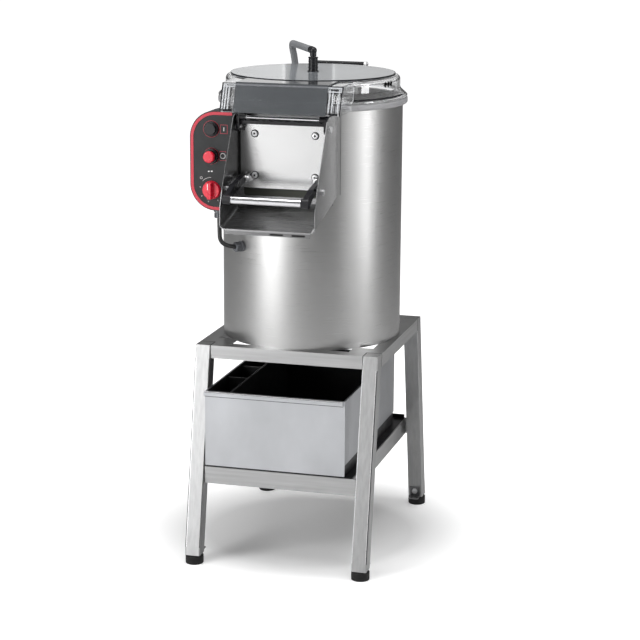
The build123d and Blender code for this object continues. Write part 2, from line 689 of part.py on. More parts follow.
duct_wall = 3.0
hem_drop = 10.0         # turned-down edge under the lip
hem_in = 11.0           # and how far its ends stay in from the cheeks
slot_centre = 45.5
slot_pitch = 49.0
slot_length = 30.0
slot_height = 4.0
with BuildPart() as chute:
    with BuildSketch(Plane.YZ) as cheek_outline:
        with BuildLine():
            Polyline(*side_profile, close=True)
        make_face()
        fillet(cheek_outline.vertices().sort_by_distance(brow)[0], brow_round)
        fillet(cheek_outline.vertices().sort_by_distance(cheek)[0], cheek_round)
        fillet(cheek_outline.vertices().sort_by_distance(lip_high)[0], lip_round)
    extrude(amount=chute_half, both=True)
    fillet(chute.edges().filter_by(
        lambda edge: abs(abs(edge.center().X) - chute_half) < 0.1 and edge.center().Z < lip_high[1]
        and edge.length > chute_reach), bend_outer)
    add(chute_hollow.part, mode=Mode.SUBTRACT)
    with Locations((0, frame_y, chute_floor(frame_y))):
        Box(2 * chute_half - sheet, sheet, chute_top - chute_floor(frame_y), align=front_up)
    for level in (opening_low - duct_wall, opening_high):
        with Locations((0, frame_y, level)):
            Box(2 * (opening_half + duct_wall), drum_radius / 3, duct_wall, align=front_up)
    for side in (-1, 1):
        with Locations((side * (opening_half + duct_wall / 2), frame_y, opening_low)):
            Box(duct_wall, drum_radius / 3, opening_height, align=front_up)
    with Locations((0, frame_y, opening_low)):
        Box(2 * opening_half, frame_out * 2, opening_height, align=front_up, mode=Mode.SUBTRACT)
    Cylinder(drum_radius, through, mode=Mode.SUBTRACT)
    with Locations((0, chute_lip_y, chute_lip_z - hem_drop)):
        Box(2 * (chute_half - hem_in), sheet, hem_drop + 1, align=front_up)
    with Locations((slot_centre, chute_lip_y, chute_lip_z - 1.5 * slot_height)):
        with GridLocations(slot_pitch, 0, 2, 1):
            Box(slot_length, 4 * sheet, slot_height, mode=Mode.SUBTRACT)
    for side in (-1, 1):
        for hole_y, hole_z, hole_radius in ((*door_pivot, pivot_radius), (*keeper, keeper_radius)):
            with Locations(Plane((side * chute_half, hole_y, hole_z), z_dir=(1, 0, 0))):
                Cylinder(hole_radius, 4 * sheet, mode=Mode.SUBTRACT)
chute.part.label = "chute"
export_step(chute.part, "parts/chute.step")

# ---- door ----
bolt_in = 32.0          # from the plate's sides to its bolts
plate_bolt_radius = 3.0
plate_bolts = [(side * (plate_half - bolt_in), level)
               for side in (-1, 1) for level in (plate_low + 28.5, plate_high - 23)]
seal_back = frame_y - gap
seal_front = plate_y + plate_thick
seal_low = opening_low - duct_wall
seal_high = opening_high + 10
seal_margin = 6.0       # the seal ends this far inside the plate's sides
plate_round = 12.0      # lower corners, which swing past the keeper studs
notch_width = 9.0       # cut-outs in the plate's upper corners, which clear the yoke
notch_height = 17.0
lug_x = 80.0
lug_thick = 4.0
lug_radius = 9.0
with BuildPart() as door_plate:
    with BuildSketch(Plane.XZ.offset(-plate_y)) as plate_face:
        with Locations((0, (plate_low + plate_high) / 2)):
            Rectangle(2 * plate_half, plate_high - plate_low)
        for side in (-1, 1):
            with Locations((side * plate_half, plate_high)):
                Rectangle(2 * notch_width, 2 * notch_height, mode=Mode.SUBTRACT)
        fillet(plate_face.vertices().group_by(Axis.Y)[0], plate_round)
    extrude(amount=-plate_thick)
    for side in (-1, 1):
        with Locations((side * lug_x, plate_y, handle_pivot[1])):
            Box(lug_thick, plate_y - handle_pivot[0], 2 * lug_radius,
                align=(Align.CENTER, Align.MAX, Align.CENTER))
        with Locations(Plane((side * lug_x, *handle_pivot), z_dir=(1, 0, 0))):
            Cylinder(lug_radius, lug_thick)
            Cylinder(latch_pin_radius, 4 * lug_thick, mode=Mode.SUBTRACT)
    for hole_x, hole_z in plate_bolts:
        with Locations(Plane((hole_x, plate_y, hole_z), z_dir=(0, 1, 0))):
            Cylinder(plate_bolt_radius, 4 * plate_thick, mode=Mode.SUBTRACT)
door_plate.part.label = "door_plate"
export_step(door_plate.part, "parts/door_plate.step")

seal_recess = 4.5
seal_lip = 2.0          # the recess reaches this far past the opening's sides
seal_round = 5.0
with BuildPart() as door_seal:
    with Locations((0, seal_front, seal_low)):
        Box(2 * (plate_half - seal_margin), seal_back - seal_front, seal_high - seal_low, align=front_up)
    with Locations((0, seal_back, opening_mid)):
        Box(2 * (opening_half + seal_lip), 2 * seal_recess, opening_height - seal_lip, mode=Mode.SUBTRACT)
    fillet(door_seal.edges().filter_by(Axis.Y), seal_round)
    for hole_x, hole_z in plate_bolts:
        with Locations(Plane((hole_x, seal_front - 1, hole_z), z_dir=(0, 1, 0))):
            Cylinder(plate_bolt_radius, plate_thick + 2, align=up, mode=Mode.SUBTRACT)
door_seal.part.label = "door_seal"
export_step(door_seal.part, "parts/door_seal.step")

bolt_head = 4.0
bolt_head_radius = 6.8
bolt_head_round = 1.8
bolt_socket = 3.2
bolt_socket_depth = 2.5
with BuildPart() as door_bolts:
    for bolt_x, bolt_z in plate_bolts:
        with Locations(Plane((bolt_x, plate_y, bolt_z), z_dir=(0, -1, 0))):
            Cylinder(bolt_head_radius, bolt_head, align=up)
            Cylinder(plate_bolt_radius, 2 * plate_thick, align=sunk)
    fillet(door_bolts.edges().filter_by(GeomType.CIRCLE).group_by(Axis.Y)[0], bolt_head_round)
    for bolt_x, bolt_z in plate_bolts:
        with BuildSketch(Plane((bolt_x, plate_y - bolt_head, bolt_z), z_dir=(0, -1, 0))):
            RegularPolygon(bolt_socket, 6)
        extrude(amount=-bolt_socket_depth, mode=Mode.SUBTRACT)
door_bolts.part.label = "door_bolts"
export_step(door_bolts.part, "parts/door_bolts.step")

yoke_outer = 103.0
yoke_arm = 7.0
yoke_pivot_round = 11.0
yoke_rod_round = 8.0
yoke_boss = 12.0        # length of the collars round the rod
rod_half = 90.0
bar_back = 26.0         # depth of the bar that lies on the plate's top edge
bar_height = 7.0
bar_front = 20.0        # the bar reaches this far in front of the plate
flange_half = 80.0
with BuildPart() as door_yoke:
    for side in (-1, 1):
        with BuildSketch(Plane.YZ.offset(side * (yoke_outer - yoke_arm / 2))):
            with BuildSketch(mode=Mode.PRIVATE) as yoke_round:
                with Locations(door_pivot):
                    Circle(yoke_pivot_round)
                with Locations(rod_centre):
                    Circle(yoke_rod_round)
            make_hull(yoke_round.edges())
        extrude(amount=yoke_arm / 2, both=True)
        with Locations(Plane((side * (yoke_outer - yoke_arm), *rod_centre), z_dir=(side, 0, 0))):
            Cylinder(2 * rod_radius, yoke_boss, align=sunk)
    with Locations((0, plate_y - bar_front, plate_high)):
        Box(2 * (yoke_outer - yoke_arm), bar_back, bar_height, align=front_up)
    with Locations((0, seal_front, seal_high + gap)):
        Box(2 * flange_half, plate_thick, plate_high - seal_high, align=front_up)
    for side in (-1, 1):
        with Locations(Plane((side * yoke_outer, *door_pivot), z_dir=(1, 0, 0))):
            Cylinder(pivot_radius + fit, 4 * yoke_arm, mode=Mode.SUBTRACT)
    with Locations(Plane((0, *rod_centre), z_dir=(1, 0, 0))):
        Cylinder(rod_radius, 2 * rod_half, mode=Mode.SUBTRACT)
door_yoke.part.label = "door_yoke"
export_step(door_yoke.part, "parts/door_yoke.step")

with BuildPart() as yoke_rod:
    with Locations(Plane((0, *rod_centre), z_dir=(1, 0, 0))):
        Cylinder(rod_radius, 2 * rod_half)
yoke_rod.part.label = "yoke_rod"
export_step(yoke_rod.part, "parts/yoke_rod.step")

pivot_head = 8.0
pivot_head_thick = 4.0
pivot_reach = 14.0
with BuildPart() as door_pivots:
    for side in (-1, 1):
        with Locations(Plane((side * chute_half, *door_pivot), z_dir=(side, 0, 0))):
            Cylinder(pivot_head, pivot_head_thick, align=up)
            Cylinder(pivot_radius, pivot_reach, align=sunk)
door_pivots.part.label = "door_pivots"
export_step(door_pivots.part, "parts/door_pivots.step")

# ---- latch handle ----
arm_inner = 83.0
arm_outer = 94.0
arm_cap = 1.5           # the arms' ends stand this far outside their faces
keeper_clear = 1.0      # between those ends and the keeper studs
keeper_head = 7.0
keeper_head_thick = 5.0
keeper_tip = arm_outer + arm_cap + keeper_clear
with BuildPart() as keeper_studs:
    for side in (-1, 1):
        with Locations(Plane((side * chute_half, *keeper), z_dir=(side, 0, 0))):
            Cylinder(keeper_radius, chute_half - keeper_tip, align=sunk)
        with BuildSketch(Plane((side * chute_half, *keeper), z_dir=(side, 0, 0))):
            RegularPolygon(keeper_head, 6)
        extrude(amount=keeper_head_thick)
keeper_studs.part.label = "keeper_studs"
export_step(keeper_studs.part, "parts/keeper_studs.step")

knee = (handle_centre[0] + 36, handle_centre[1] + 15.5)
arm_end = 11.0
arm_bends = ((handle_pivot, 8.5), (knee, 9.0), (handle_centre, arm_end))
arm_cap_length = 17.0
tube_half = arm_outer - 3
with BuildPart() as handle_arms:
    for side in (-1, 1):
        with BuildSketch(Plane.YZ.offset(side * (arm_inner + arm_outer) / 2)):
            for (start, start_radius), (end, end_radius) in zip(arm_bends, arm_bends[1:]):
                with BuildSketch(mode=Mode.PRIVATE) as arm_round:
                    with Locations(start):
                        Circle(start_radius)
                    with Locations(end):
                        Circle(end_radius)
                make_hull(arm_round.edges())
        extrude(amount=(arm_outer - arm_inner) / 2, both=True)
        with Locations(Plane((side * (arm_outer + arm_cap), *handle_centre), z_dir=(side, 0, 0))):
            Cylinder(arm_end, arm_cap_length, align=sunk)
    with Locations(Plane((0, *handle_centre), z_dir=(1, 0, 0))):
        Cylinder(tube_radius, 2 * tube_half, mode=Mode.SUBTRACT)
    with Locations(Plane((0, *handle_pivot), z_dir=(1, 0, 0))):
        Cylinder(latch_pin_radius + fit, through, mode=Mode.SUBTRACT)
handle_arms.part.label = "handle_arms"
export_step(handle_arms.part, "parts/handle_arms.step")

rest_width = 5.0
rest_lift = 0.8         # from the keeper studs up to the rests
rest_height = 5.5
rest_front = keeper[0] - 16
rest_back = keeper[0] + 18
rest_round = 1.5
rest_low = keeper[1] + keeper_radius + rest_lift
with BuildPart() as arm_rests:
    for side in (-1, 1):
        with Locations((side * (arm_outer + rest_width / 2), rest_front, rest_low)):
            Box(rest_width, rest_back - rest_front, rest_height, align=front_up)
    fillet(arm_rests.edges().filter_by(Axis.Z).filter_by(
        lambda edge: abs(edge.center().X) > arm_outer + 1), rest_round)
arm_rests.part.label = "arm_rests"
export_step(arm_rests.part, "parts/arm_rests.step")

tube_skin = 1.5
with BuildPart() as handle_tube:
    with Locations(Plane((0, *handle_centre), z_dir=(1, 0, 0))):
        Cylinder(tube_radius, 2 * tube_half)
        Cylinder(tube_radius - tube_skin, through, mode=Mode.SUBTRACT)
handle_tube.part.label = "handle_tube"
export_step(handle_tube.part, "parts/handle_tube.step")

pin_head = 7.0
pin_head_thick = 5.0
pin_cap = 6.5
pin_cap_thick = 3.0
with BuildPart() as arm_bolts:
    for side in (-1, 1):
        with Locations(Plane((side * (lug_x - lug_thick / 2), *handle_pivot), z_dir=(side, 0, 0))):
            Cylinder(pin_head, pin_head_thick, align=sunk)
            Cylinder(latch_pin_radius, arm_outer - lug_x + pin_cap_thick, align=up)
        with Locations(Plane((side * (arm_outer + gap), *handle_pivot), z_dir=(side, 0, 0))):
            Cylinder(pin_cap, pin_cap_thick, align=up)
arm_bolts.part.label = "arm_bolts"
export_step(arm_bolts.part, "parts/arm_bolts.step")

# ---- lid ----
hood_inner = hood_radius - hood_wall
hood_ledge = disc_radius - 40       # inner edge of the rim that carries the disc
hood_drop = 10.0                    # the hood's shoulder is rounded over this height
hood_shoulder = 1.5
skirt_outer = rim_radius - 1
skirt_inner = rim_radius - 6
hood_front = frame_y - 34
hood_nose = frame_y - 58
hood_hem = hood_low - 14.5
hood_rear = -drum_radius + 29.7
core_clear = 0.2
side_wall = 3.0
box_inside = -drum_radius / 2
with BuildPart() as lid_hood:
    with BuildSketch(Plane.XZ):
        with BuildLine():
            Line((hood_ledge, hood_top), (disc_radius + hood_shoulder, hood_top))
            RadiusArc((disc_radius + hood_shoulder, hood_top), (hood_radius, hood_top - hood_drop), 10.5)
            Polyline((hood_radius, hood_top - hood_drop), (hood_radius, hood_low + 19.5),
                     (hood_radius + 3, hood_low + 14.5), (skirt_outer, hood_low + 2.5),
                     (skirt_outer, hood_low), (skirt_inner, hood_low), (skirt_inner, hood_low + 1.5),
                     (hood_radius + 0.5, hood_low + 13), (hood_inner, hood_low + 18.5),
                     (hood_inner, hood_top - hood_drop), (disc_radius, hood_top - hood_wall),
                     (hood_ledge, hood_top - hood_wall), (hood_ledge, hood_top))
        make_face()
    revolve(axis=Axis.Z)
    with BuildSketch(Plane.YZ):
        with BuildLine():
            Polyline((box_inside, hood_top), (hood_front, hood_top), (hood_nose, hood_hem),
                     (hood_rear, hood_hem), (hood_rear, hood_low), (box_inside, hood_low), close=True)
        make_face()
    front_box = extrude(amount=hood_half, both=True, mode=Mode.PRIVATE)
    with BuildSketch(Plane.YZ):
        with BuildLine():
            Polyline((box_inside, hood_top - hood_wall), (hood_front + hood_wall, hood_top - hood_wall),
                     (hood_nose + 1, hood_hem - 6), (box_inside, hood_hem - 6), close=True)
        make_face()
    front_hollow = extrude(amount=hood_half - side_wall, both=True, mode=Mode.PRIVATE)
    ring_core = Cylinder(hood_radius - core_clear, through, mode=Mode.PRIVATE)
    add(front_box - front_hollow - ring_core)
lid_hood.part.label = "lid_hood"
export_step(lid_hood.part, "parts/lid_hood.step")

strip_thick = 2.5
panel_lip = 3.0
panel_back = -disc_radius + 27.5
with BuildPart() as lid_front_panel:
    with BuildSketch(Plane.YZ):
        with BuildLine():
            Polyline((panel_back, hood_top), (hood_front, hood_top), (hood_nose, hood_hem),
                     (hood_nose - panel_lip, hood_hem), (hood_front - strip_thick, hood_top + strip_thick),
                     (panel_back, hood_top + strip_thick), close=True)
        make_face()
    extrude(amount=lid_panel_half, both=True)
    Cylinder(disc_radius + 0.5, through, mode=Mode.SUBTRACT)
lid_front_panel.part.label = "lid_front_panel"
export_step(lid_front_panel.part, "parts/lid_front_panel.step")

pipe_radius = 8.0
disc_round = 1.2
with BuildPart() as lid_disc:
    with Locations((0, 0, hood_top)):
        Cylinder(disc_radius, disc_thick, align=up)
        Cylinder(pipe_radius, 4 * disc_thick, mode=Mode.SUBTRACT)
    fillet(lid_disc.edges().filter_by(GeomType.CIRCLE).sort_by(SortBy.RADIUS)[-2:], disc_round)
lid_disc.part.label = "lid_disc"
export_step(lid_disc.part, "parts/lid_disc.step")

inlet_flange = 12.8
inlet_flange_thick = 2.0
inlet_body = 10.5
inlet_height = 32.0
inlet_round = 3.0
inlet_neck = 6.0
neck_height = 42.0
pipe_drop = 34.0
water_bore = 4.0
nut_width = 15.0
nut_thick = 4.0
with BuildPart() as inlet_fitting:
    with Locations((0, 0, disc_top)):
        Cylinder(inlet_flange, inlet_flange_thick, align=up)
        Cylinder(inlet_body, inlet_height, align=up)
        Cylinder(pipe_radius, pipe_drop, align=sunk)
        Cylinder(inlet_neck, neck_height, align=up)
        fillet(inlet_fitting.edges().filter_by(GeomType.CIRCLE).filter_by(
            lambda edge: abs(edge.radius - inlet_body) < 0.1 and edge.center().Z > disc_top + pipe_radius),
            inlet_round)
    with Locations((0, 0, hood_top)):
        Cylinder(nut_width, nut_thick, align=sunk)
    Cylinder(water_bore, through, mode=Mode.SUBTRACT)
inlet_fitting.part.label = "inlet_fitting"
export_step(inlet_fitting.part, "parts/inlet_fitting.step")

hose_radius = 8.0
barb_radius = 4.6
elbow_z = disc_top + 47.5
hose_route = ((-8.2, 16.2, elbow_z), (-108, drum_radius - 15.7, elbow_z - 1),
              (-100, drum_radius - 0.7, hinge_z), (-96, drum_radius + 6.3, rim_low - 49))
hose_start = Vector(*hose_route[0])
hose_way = (Vector(*hose_route[1]) - hose_start).normalized()
elbow_radius = 7.5
elbow_ball = 8.5
elbow_low = 35.0
barb_length = 20.0
with BuildPart() as inlet_elbow:
    with Locations((0, 0, disc_top + elbow_low)):
        Cylinder(elbow_radius, elbow_z - disc_top - elbow_low, align=up)
    with Locations((0, 0, elbow_z)):
        Sphere(elbow_ball)
    with Locations(Plane(hose_start, z_dir=hose_way)):
        Cylinder(elbow_radius, barb_length - 2, align=sunk)
        Cylinder(barb_radius, barb_length, align=up)
    with Locations((0, 0, disc_top)):
        Cylinder(inlet_neck, neck_height, align=up, mode=Mode.SUBTRACT)
inlet_elbow.part.label = "inlet_elbow"
export_step(inlet_elbow.part, "parts/inlet_elbow.step")

with BuildPart() as water_hose:
    with BuildLine() as hose_line:
        FilletPolyline(*hose_route, radius=(34, 110))
    with BuildSketch(Plane(hose_start, z_dir=hose_way)):
        Circle(hose_radius)
        Circle(barb_radius, mode=Mode.SUBTRACT)
    sweep()
water_hose.part.label = "water_hose"
export_step(water_hose.part, "parts/water_hose.step")

hose_end = Vector(*hose_route[3])
end_way = (hose_end - Vector(*hose_route[2])).normalized()
valve_drop = 30.0       # from the hose's end down to the inlet stub
valve_body = 11.0
valve_neck = 7.0
valve_size = 30.0
stub_collar = 16.0
collar_long = 12.0
stub_radius = 13.2
stub_long = 14.0
stub_bore = 9.0
with BuildPart() as water_valve:
    with Locations((hose_end.X, hose_end.Y, hose_end.Z - pipe_radius)):
        Cylinder(valve_body, 4 * valve_body, align=sunk)
        Cylinder(valve_neck, valve_neck, align=up)
    with Locations(Plane(hose_end, z_dir=end_way).offset(5)):
        Cylinder(barb_radius, barb_length + 2, align=sunk)
    with Locations((hose_end.X, hose_end.Y, hose_end.Z - valve_drop)):
        Box(valve_size, 1.5 * valve_size, valve_size, align=(Align.CENTER, Align.MAX, Align.CENTER))
    with Locations(Plane((hose_end.X, hose_end.Y, hose_end.Z - valve_drop), z_dir=(0, 1, 0))):
        Cylinder(stub_collar, collar_long, align=up)
        Cylinder(stub_radius, collar_long + stub_long, align=up)
        Cylinder(stub_bore, 2 * collar_long + stub_long, align=up, mode=Mode.SUBTRACT)
    Cylinder(drum_radius, through, mode=Mode.SUBTRACT)
water_valve.part.label = "water_valve"
export_step(water_valve.part, "parts/water_valve.step")

# ---- lid hinge ----
barrel_radius = 5.0
barrel_half = 59.0
strap_half = 48.0
strap_root = hood_radius - 9
strap_bend = hood_radius + 3.5
strap_low = hood_top - 26.5
strap_high = hood_top - 7
strap_thick = 4.5
with BuildPart() as lid_hinge_arm:
    with Locations(Plane((0, hinge_y, hinge_z), z_dir=(1, 0, 0))):
        Cylinder(barrel_radius, 2 * barrel_half)
    with BuildSketch(Plane.YZ):
        with BuildLine():
            Polyline((strap_root, strap_low), (strap_bend, strap_low), (strap_bend, strap_high - strap_thick),
                     (hinge_y, hinge_z - barrel_radius + 0.5), (hinge_y, hinge_z), (strap_bend, strap_high),
                     (strap_root, strap_high), close=True)
        make_face()
    extrude(amount=strap_half, both=True)
    Cylinder(hood_radius, through, mode=Mode.SUBTRACT)
    with Locations(Plane((0, hinge_y, hinge_z), z_dir=(1, 0, 0))):
        Cylinder(hinge_rod_radius + fit, through, mode=Mode.SUBTRACT)
lid_hinge_arm.part.label = "lid_hinge_arm"
export_step(lid_hinge_arm.part, "parts/lid_hinge_arm.step")

ear_x = 63.0
ear_thick = 6.0
ear_root = drum_radius - 25.7
bracket_high = chute_top
bracket_low = bracket_high - 80
bracket_thick = 3.0
bracket_half = ear_x + ear_thick / 2
with BuildPart() as hinge_bracket:
    for side in (-1, 1):
        with BuildSketch(Plane.YZ.offset(side * ear_x)):
            with BuildLine():
                Polyline((ear_root, bracket_low), (drum_radius + 6.3, bracket_low),
                         (hinge_y + 9, hinge_z - 28), (hinge_y + 9, hinge_z), (hinge_y + 4, hinge_z + 5),
                         (hinge_y - 5, hinge_z + 5), (hinge_y - 9, hinge_z), (rim_radius + 7.5, hinge_z - 38),
                         (rim_radius + 7.5, bracket_high), (ear_root, bracket_high), close=True)
            make_face()
        extrude(amount=ear_thick / 2, both=True)
    with BuildSketch(Plane.XY.offset(bracket_low)) as bracket_band:
        Circle(drum_radius + bracket_thick)
        with Locations((0, ear_root)):
            Rectangle(2 * bracket_half, drum_radius, align=(Align.CENTER, Align.MIN), mode=Mode.INTERSECT)
    extrude(amount=bracket_high - bracket_low)
    Cylinder(drum_radius, through, mode=Mode.SUBTRACT)
    with Locations(Plane((0, hinge_y, hinge_z), z_dir=(1, 0, 0))):
        Cylinder(hinge_rod_radius, through, mode=Mode.SUBTRACT)
hinge_bracket.part.label = "hinge_bracket"
export_step(hinge_bracket.part, "parts/hinge_bracket.step")

rod_over = 3.0          # the rod stands this far out of the bracket's ears
with BuildPart() as hinge_rod:
    with Locations(Plane((0, hinge_y, hinge_z), z_dir=(1, 0, 0))):
        Cylinder(hinge_rod_radius, 2 * (bracket_half + rod_over))
hinge_rod.part.label = "hinge_rod"
export_step(hinge_rod.part, "parts/hinge_rod.step")

# ---- control panel ----
housing_z = (housing_low + housing_high) / 2
face_thick = 2.0
face_y = housing_y - face_thick
housing_wall = 2.5
housing_round = 6.0


def d_shape(inset, right):
    """housing outline, drawn in by inset on its left, top and bottom, ending at x = right"""
    width = right - housing_left - inset
    height = housing_height - 2 * inset
    with BuildSketch(mode=Mode.PRIVATE) as outline:
        with Locations((right - width / 2, housing_z)):
            Rectangle(width, height)
        fillet(outline.vertices().group_by(Axis.X)[0], housing_corner - inset)
    return outline.sketch


panel_gland = Vector(housing_left + 57, housing_y + 31, housing_low)
panel_stem = 7.0
mount_block = (40, 60, 70)
with BuildPart() as panel_housing:
    with BuildSketch(Plane.XZ.offset(-housing_y)):
        add(d_shape(0, housing_right))
    extrude(amount=-housing_depth)
    fillet(panel_housing.faces().sort_by(Axis.Y)[-1].edges().filter_by(
        lambda edge: edge.center().X < housing_right - 1), housing_round)
    with BuildSketch(Plane.XZ.offset(-housing_y)):
        add(d_shape(housing_wall, housing_right - housing_wall))
    extrude(amount=housing_wall - housing_depth, mode=Mode.SUBTRACT)
    with Locations((housing_right - 33, housing_back - housing_wall, housing_z)):
        Box(*mount_block, align=(Align.CENTER, Align.MIN, Align.CENTER))
    Cylinder(drum_radius, through, mode=Mode.SUBTRACT)
    with Locations(panel_gland):
        Cylinder(panel_stem, 8 * housing_wall, mode=Mode.SUBTRACT)
panel_housing.part.label = "panel_housing"
export_step(panel_housing.part, "parts/panel_housing.step")

collar_radius = 11.0
collar_length = 26.0
knob_stem = 3.0
with BuildPart() as panel_face:
    with BuildSketch(Plane.XZ.offset(-housing_y)):
        add(d_shape(1, housing_right))
        with Locations((control_x, start_z), (control_x, stop_z)):
            Circle(collar_radius, mode=Mode.SUBTRACT)
        with Locations((control_x, knob_z)):
            Circle(2 * knob_stem, mode=Mode.SUBTRACT)
    extrude(amount=face_thick)
panel_face.part.label = "panel_face"
export_step(panel_face.part, "parts/panel_face.step")

border_outer = 2.5
border_inner = 9.0
border_thick = 0.8
border_end = housing_right - 11
with BuildPart() as panel_border:
    with BuildSketch(Plane.XZ.offset(-face_y)):
        add(d_shape(border_outer, border_end))
        add(d_shape(border_inner, border_end + housing_corner), mode=Mode.SUBTRACT)
    extrude(amount=border_thick)
panel_border.part.label = "panel_border"
export_step(panel_border.part, "parts/panel_border.step")

bezel_radius = 16.8
start_bezel = 5.0
stop_bezel = 9.0
start_radius = 13.5
stop_stem = 9.0         # radius of the well that the stop button's stem moves in
button_stem = 8.2
stem_hole = 8.5
with BuildPart() as button_bezels:
    for level, bezel_height in ((start_z, start_bezel), (stop_z, stop_bezel)):
        with Locations(Plane((control_x, face_y, level), z_dir=(0, -1, 0))):
            Cylinder(bezel_radius, bezel_height, align=up)
            Cylinder(collar_radius, collar_length, align=sunk)
    fillet(button_bezels.edges().filter_by(GeomType.CIRCLE).filter_by(
        lambda edge: edge.center().Y < face_y - 2), sheet)
    for level, well_radius in ((start_z, start_radius), (stop_z, stop_stem)):
        with Locations(Plane((control_x, face_y, level), z_dir=(0, -1, 0))):
            Cylinder(well_radius + gap, 2 * stop_bezel, align=up, mode=Mode.SUBTRACT)
            Cylinder(stem_hole, 3 * collar_length, mode=Mode.SUBTRACT)
button_bezels.part.label = "button_bezels"
export_step(button_bezels.part, "parts/button_bezels.step")

start_sit = 4.0         # underside of the start button's cap above the panel's face
start_cap = 6.0
start_round = 2.0
start_stem = 20.0
with BuildPart() as start_button:
    with Locations(Plane((control_x, face_y - start_sit, start_z), z_dir=(0, -1, 0))):
        Cylinder(start_radius, start_cap, align=up)
        fillet(start_button.edges().filter_by(GeomType.CIRCLE).group_by(Axis.Y)[0], start_round)
        Cylinder(button_stem, start_stem, align=sunk)
start_button.part.label = "start_button"
export_step(start_button.part, "parts/start_button.step")

stop_radius = 13.0
stop_sit = 14.0
stop_cap = 8.0
stop_round = 3.0
stop_stem_length = 30.0
with BuildPart() as stop_button:
    with Locations(Plane((control_x, face_y - stop_sit, stop_z), z_dir=(0, -1, 0))):
        Cylinder(stop_radius, stop_cap, align=up)
        fillet(stop_button.edges().filter_by(GeomType.CIRCLE).group_by(Axis.Y)[0], stop_round)
        Cylinder(button_stem, stop_stem_length, align=sunk)
stop_button.part.label = "stop_button"
export_step(stop_button.part, "parts/stop_button.step")

knob_radius = 21.0
knob_top = 19.0
knob_skirt = 7.0
knob_stem_length = 24.0
grip_width = 10.0
grip_height = 12.0
grip_length = 36.0
grip_round = 2.0
with BuildPart() as timer_knob:
    with Locations(Plane((control_x, face_y - gap, knob_z), z_dir=(0, -1, 0))):
        Cone(knob_radius, knob_top, knob_skirt, align=up)
        Cylinder(knob_stem, knob_stem_length, align=sunk)
    with Locations((control_x, face_y - gap - knob_skirt, knob_z)):
        Box(grip_width, grip_height, grip_length, align=(Align.CENTER, Align.MAX, Align.CENTER))
    fillet(timer_knob.edges().filter_by(Axis.Z).group_by(Axis.Y)[0], grip_round)
timer_knob.part.label = "timer_knob"
export_step(timer_knob.part, "parts/timer_knob.step")

back_up = (Align.CENTER, Align.MIN, Align.CENTER)
button_block = (30, 26, 40)
timer_block = (46, 30, 46)
with BuildPart() as switch_blocks:
    for level in (start_z, stop_z):
        with Locations((control_x, face_y + collar_length, level)):
            Box(*button_block, align=back_up)
    with Locations((control_x, housing_y, knob_z)):
        Box(*timer_block, align=back_up)
    with Locations(Plane((control_x, housing_y, knob_z), z_dir=(0, 1, 0))):
        Cylinder(knob_stem + fit, through, mode=Mode.SUBTRACT)
switch_blocks.part.label = "switch_blocks"
export_step(switch_blocks.part, "parts/switch_blocks.step")

# ---- control cable and glands ----
cable_radius = 4.9
down = Vector(0, 0, -1)
gland_bore = 5.0
gland_nut = 12.0
gland_nut_height = 6.0
gland_body = 9.5
gland_body_height = 20.0
gland_stem_length = 14.0
rib_size = 2.0
with BuildPart() as cable_glands:
    for base, way, stem in ((drum_gland, outward(drum_gland), gland_stem), (panel_gland, down, panel_stem),
                            (supply_gland, outward(supply_gland), gland_stem)):
        with Locations(Plane(base, z_dir=way)):
            with Locations((0, 0, 1)):
                Cylinder(gland_nut, gland_nut_height, align=up)
                Cylinder(gland_body, gland_body_height, align=up)
            Cylinder(stem, gland_stem_length)
            with Locations((0, 0, gland_body_height / 2)):
                with PolarLocations(gland_body + rib_size / 4, 12):
                    Box(rib_size, rib_size, gland_body_height / 2, align=up)
            Cylinder(gland_bore, 4 * gland_body_height, mode=Mode.SUBTRACT)
    Cylinder(drum_radius - sheet, through, mode=Mode.SUBTRACT)
cable_glands.part.label = "cable_glands"
export_step(cable_glands.part, "parts/cable_glands.step")

cable_above = 12.0
cable_drop = 32.0
cable_out = 62.0
cable_in = 6.0
cable_bend = 14.0
cable_top = panel_gland - down * cable_above
cable_turn = drum_gland + outward(drum_gland) * cable_out
with BuildPart() as control_cable:
    with BuildLine() as cable_line:
        FilletPolyline(cable_top, panel_gland + down * cable_drop, cable_turn,
                       drum_gland - outward(drum_gland) * cable_in, radius=cable_bend)
    with BuildSketch(Plane(cable_top, z_dir=cable_line.line % 0)):
        Circle(cable_radius)
    sweep()
control_cable.part.label = "control_cable"
export_step(control_cable.part, "parts/control_cable.step")
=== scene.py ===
# %% [markdown]
# # Dressing an electric potato peeler
# The solids of the machine come from CAD: drum, lid, door, chute, panel, stand and filter box. They already
# have their true size and place, so this lesson never moves them. It gives each one a finish, adds the
# small things that are too fine for the solids, and sets up a plain studio round the machine.

# %% load the solids
from math import cos, pi, radians, sin

import bmesh
import bpy
from mathutils import Matrix, Vector


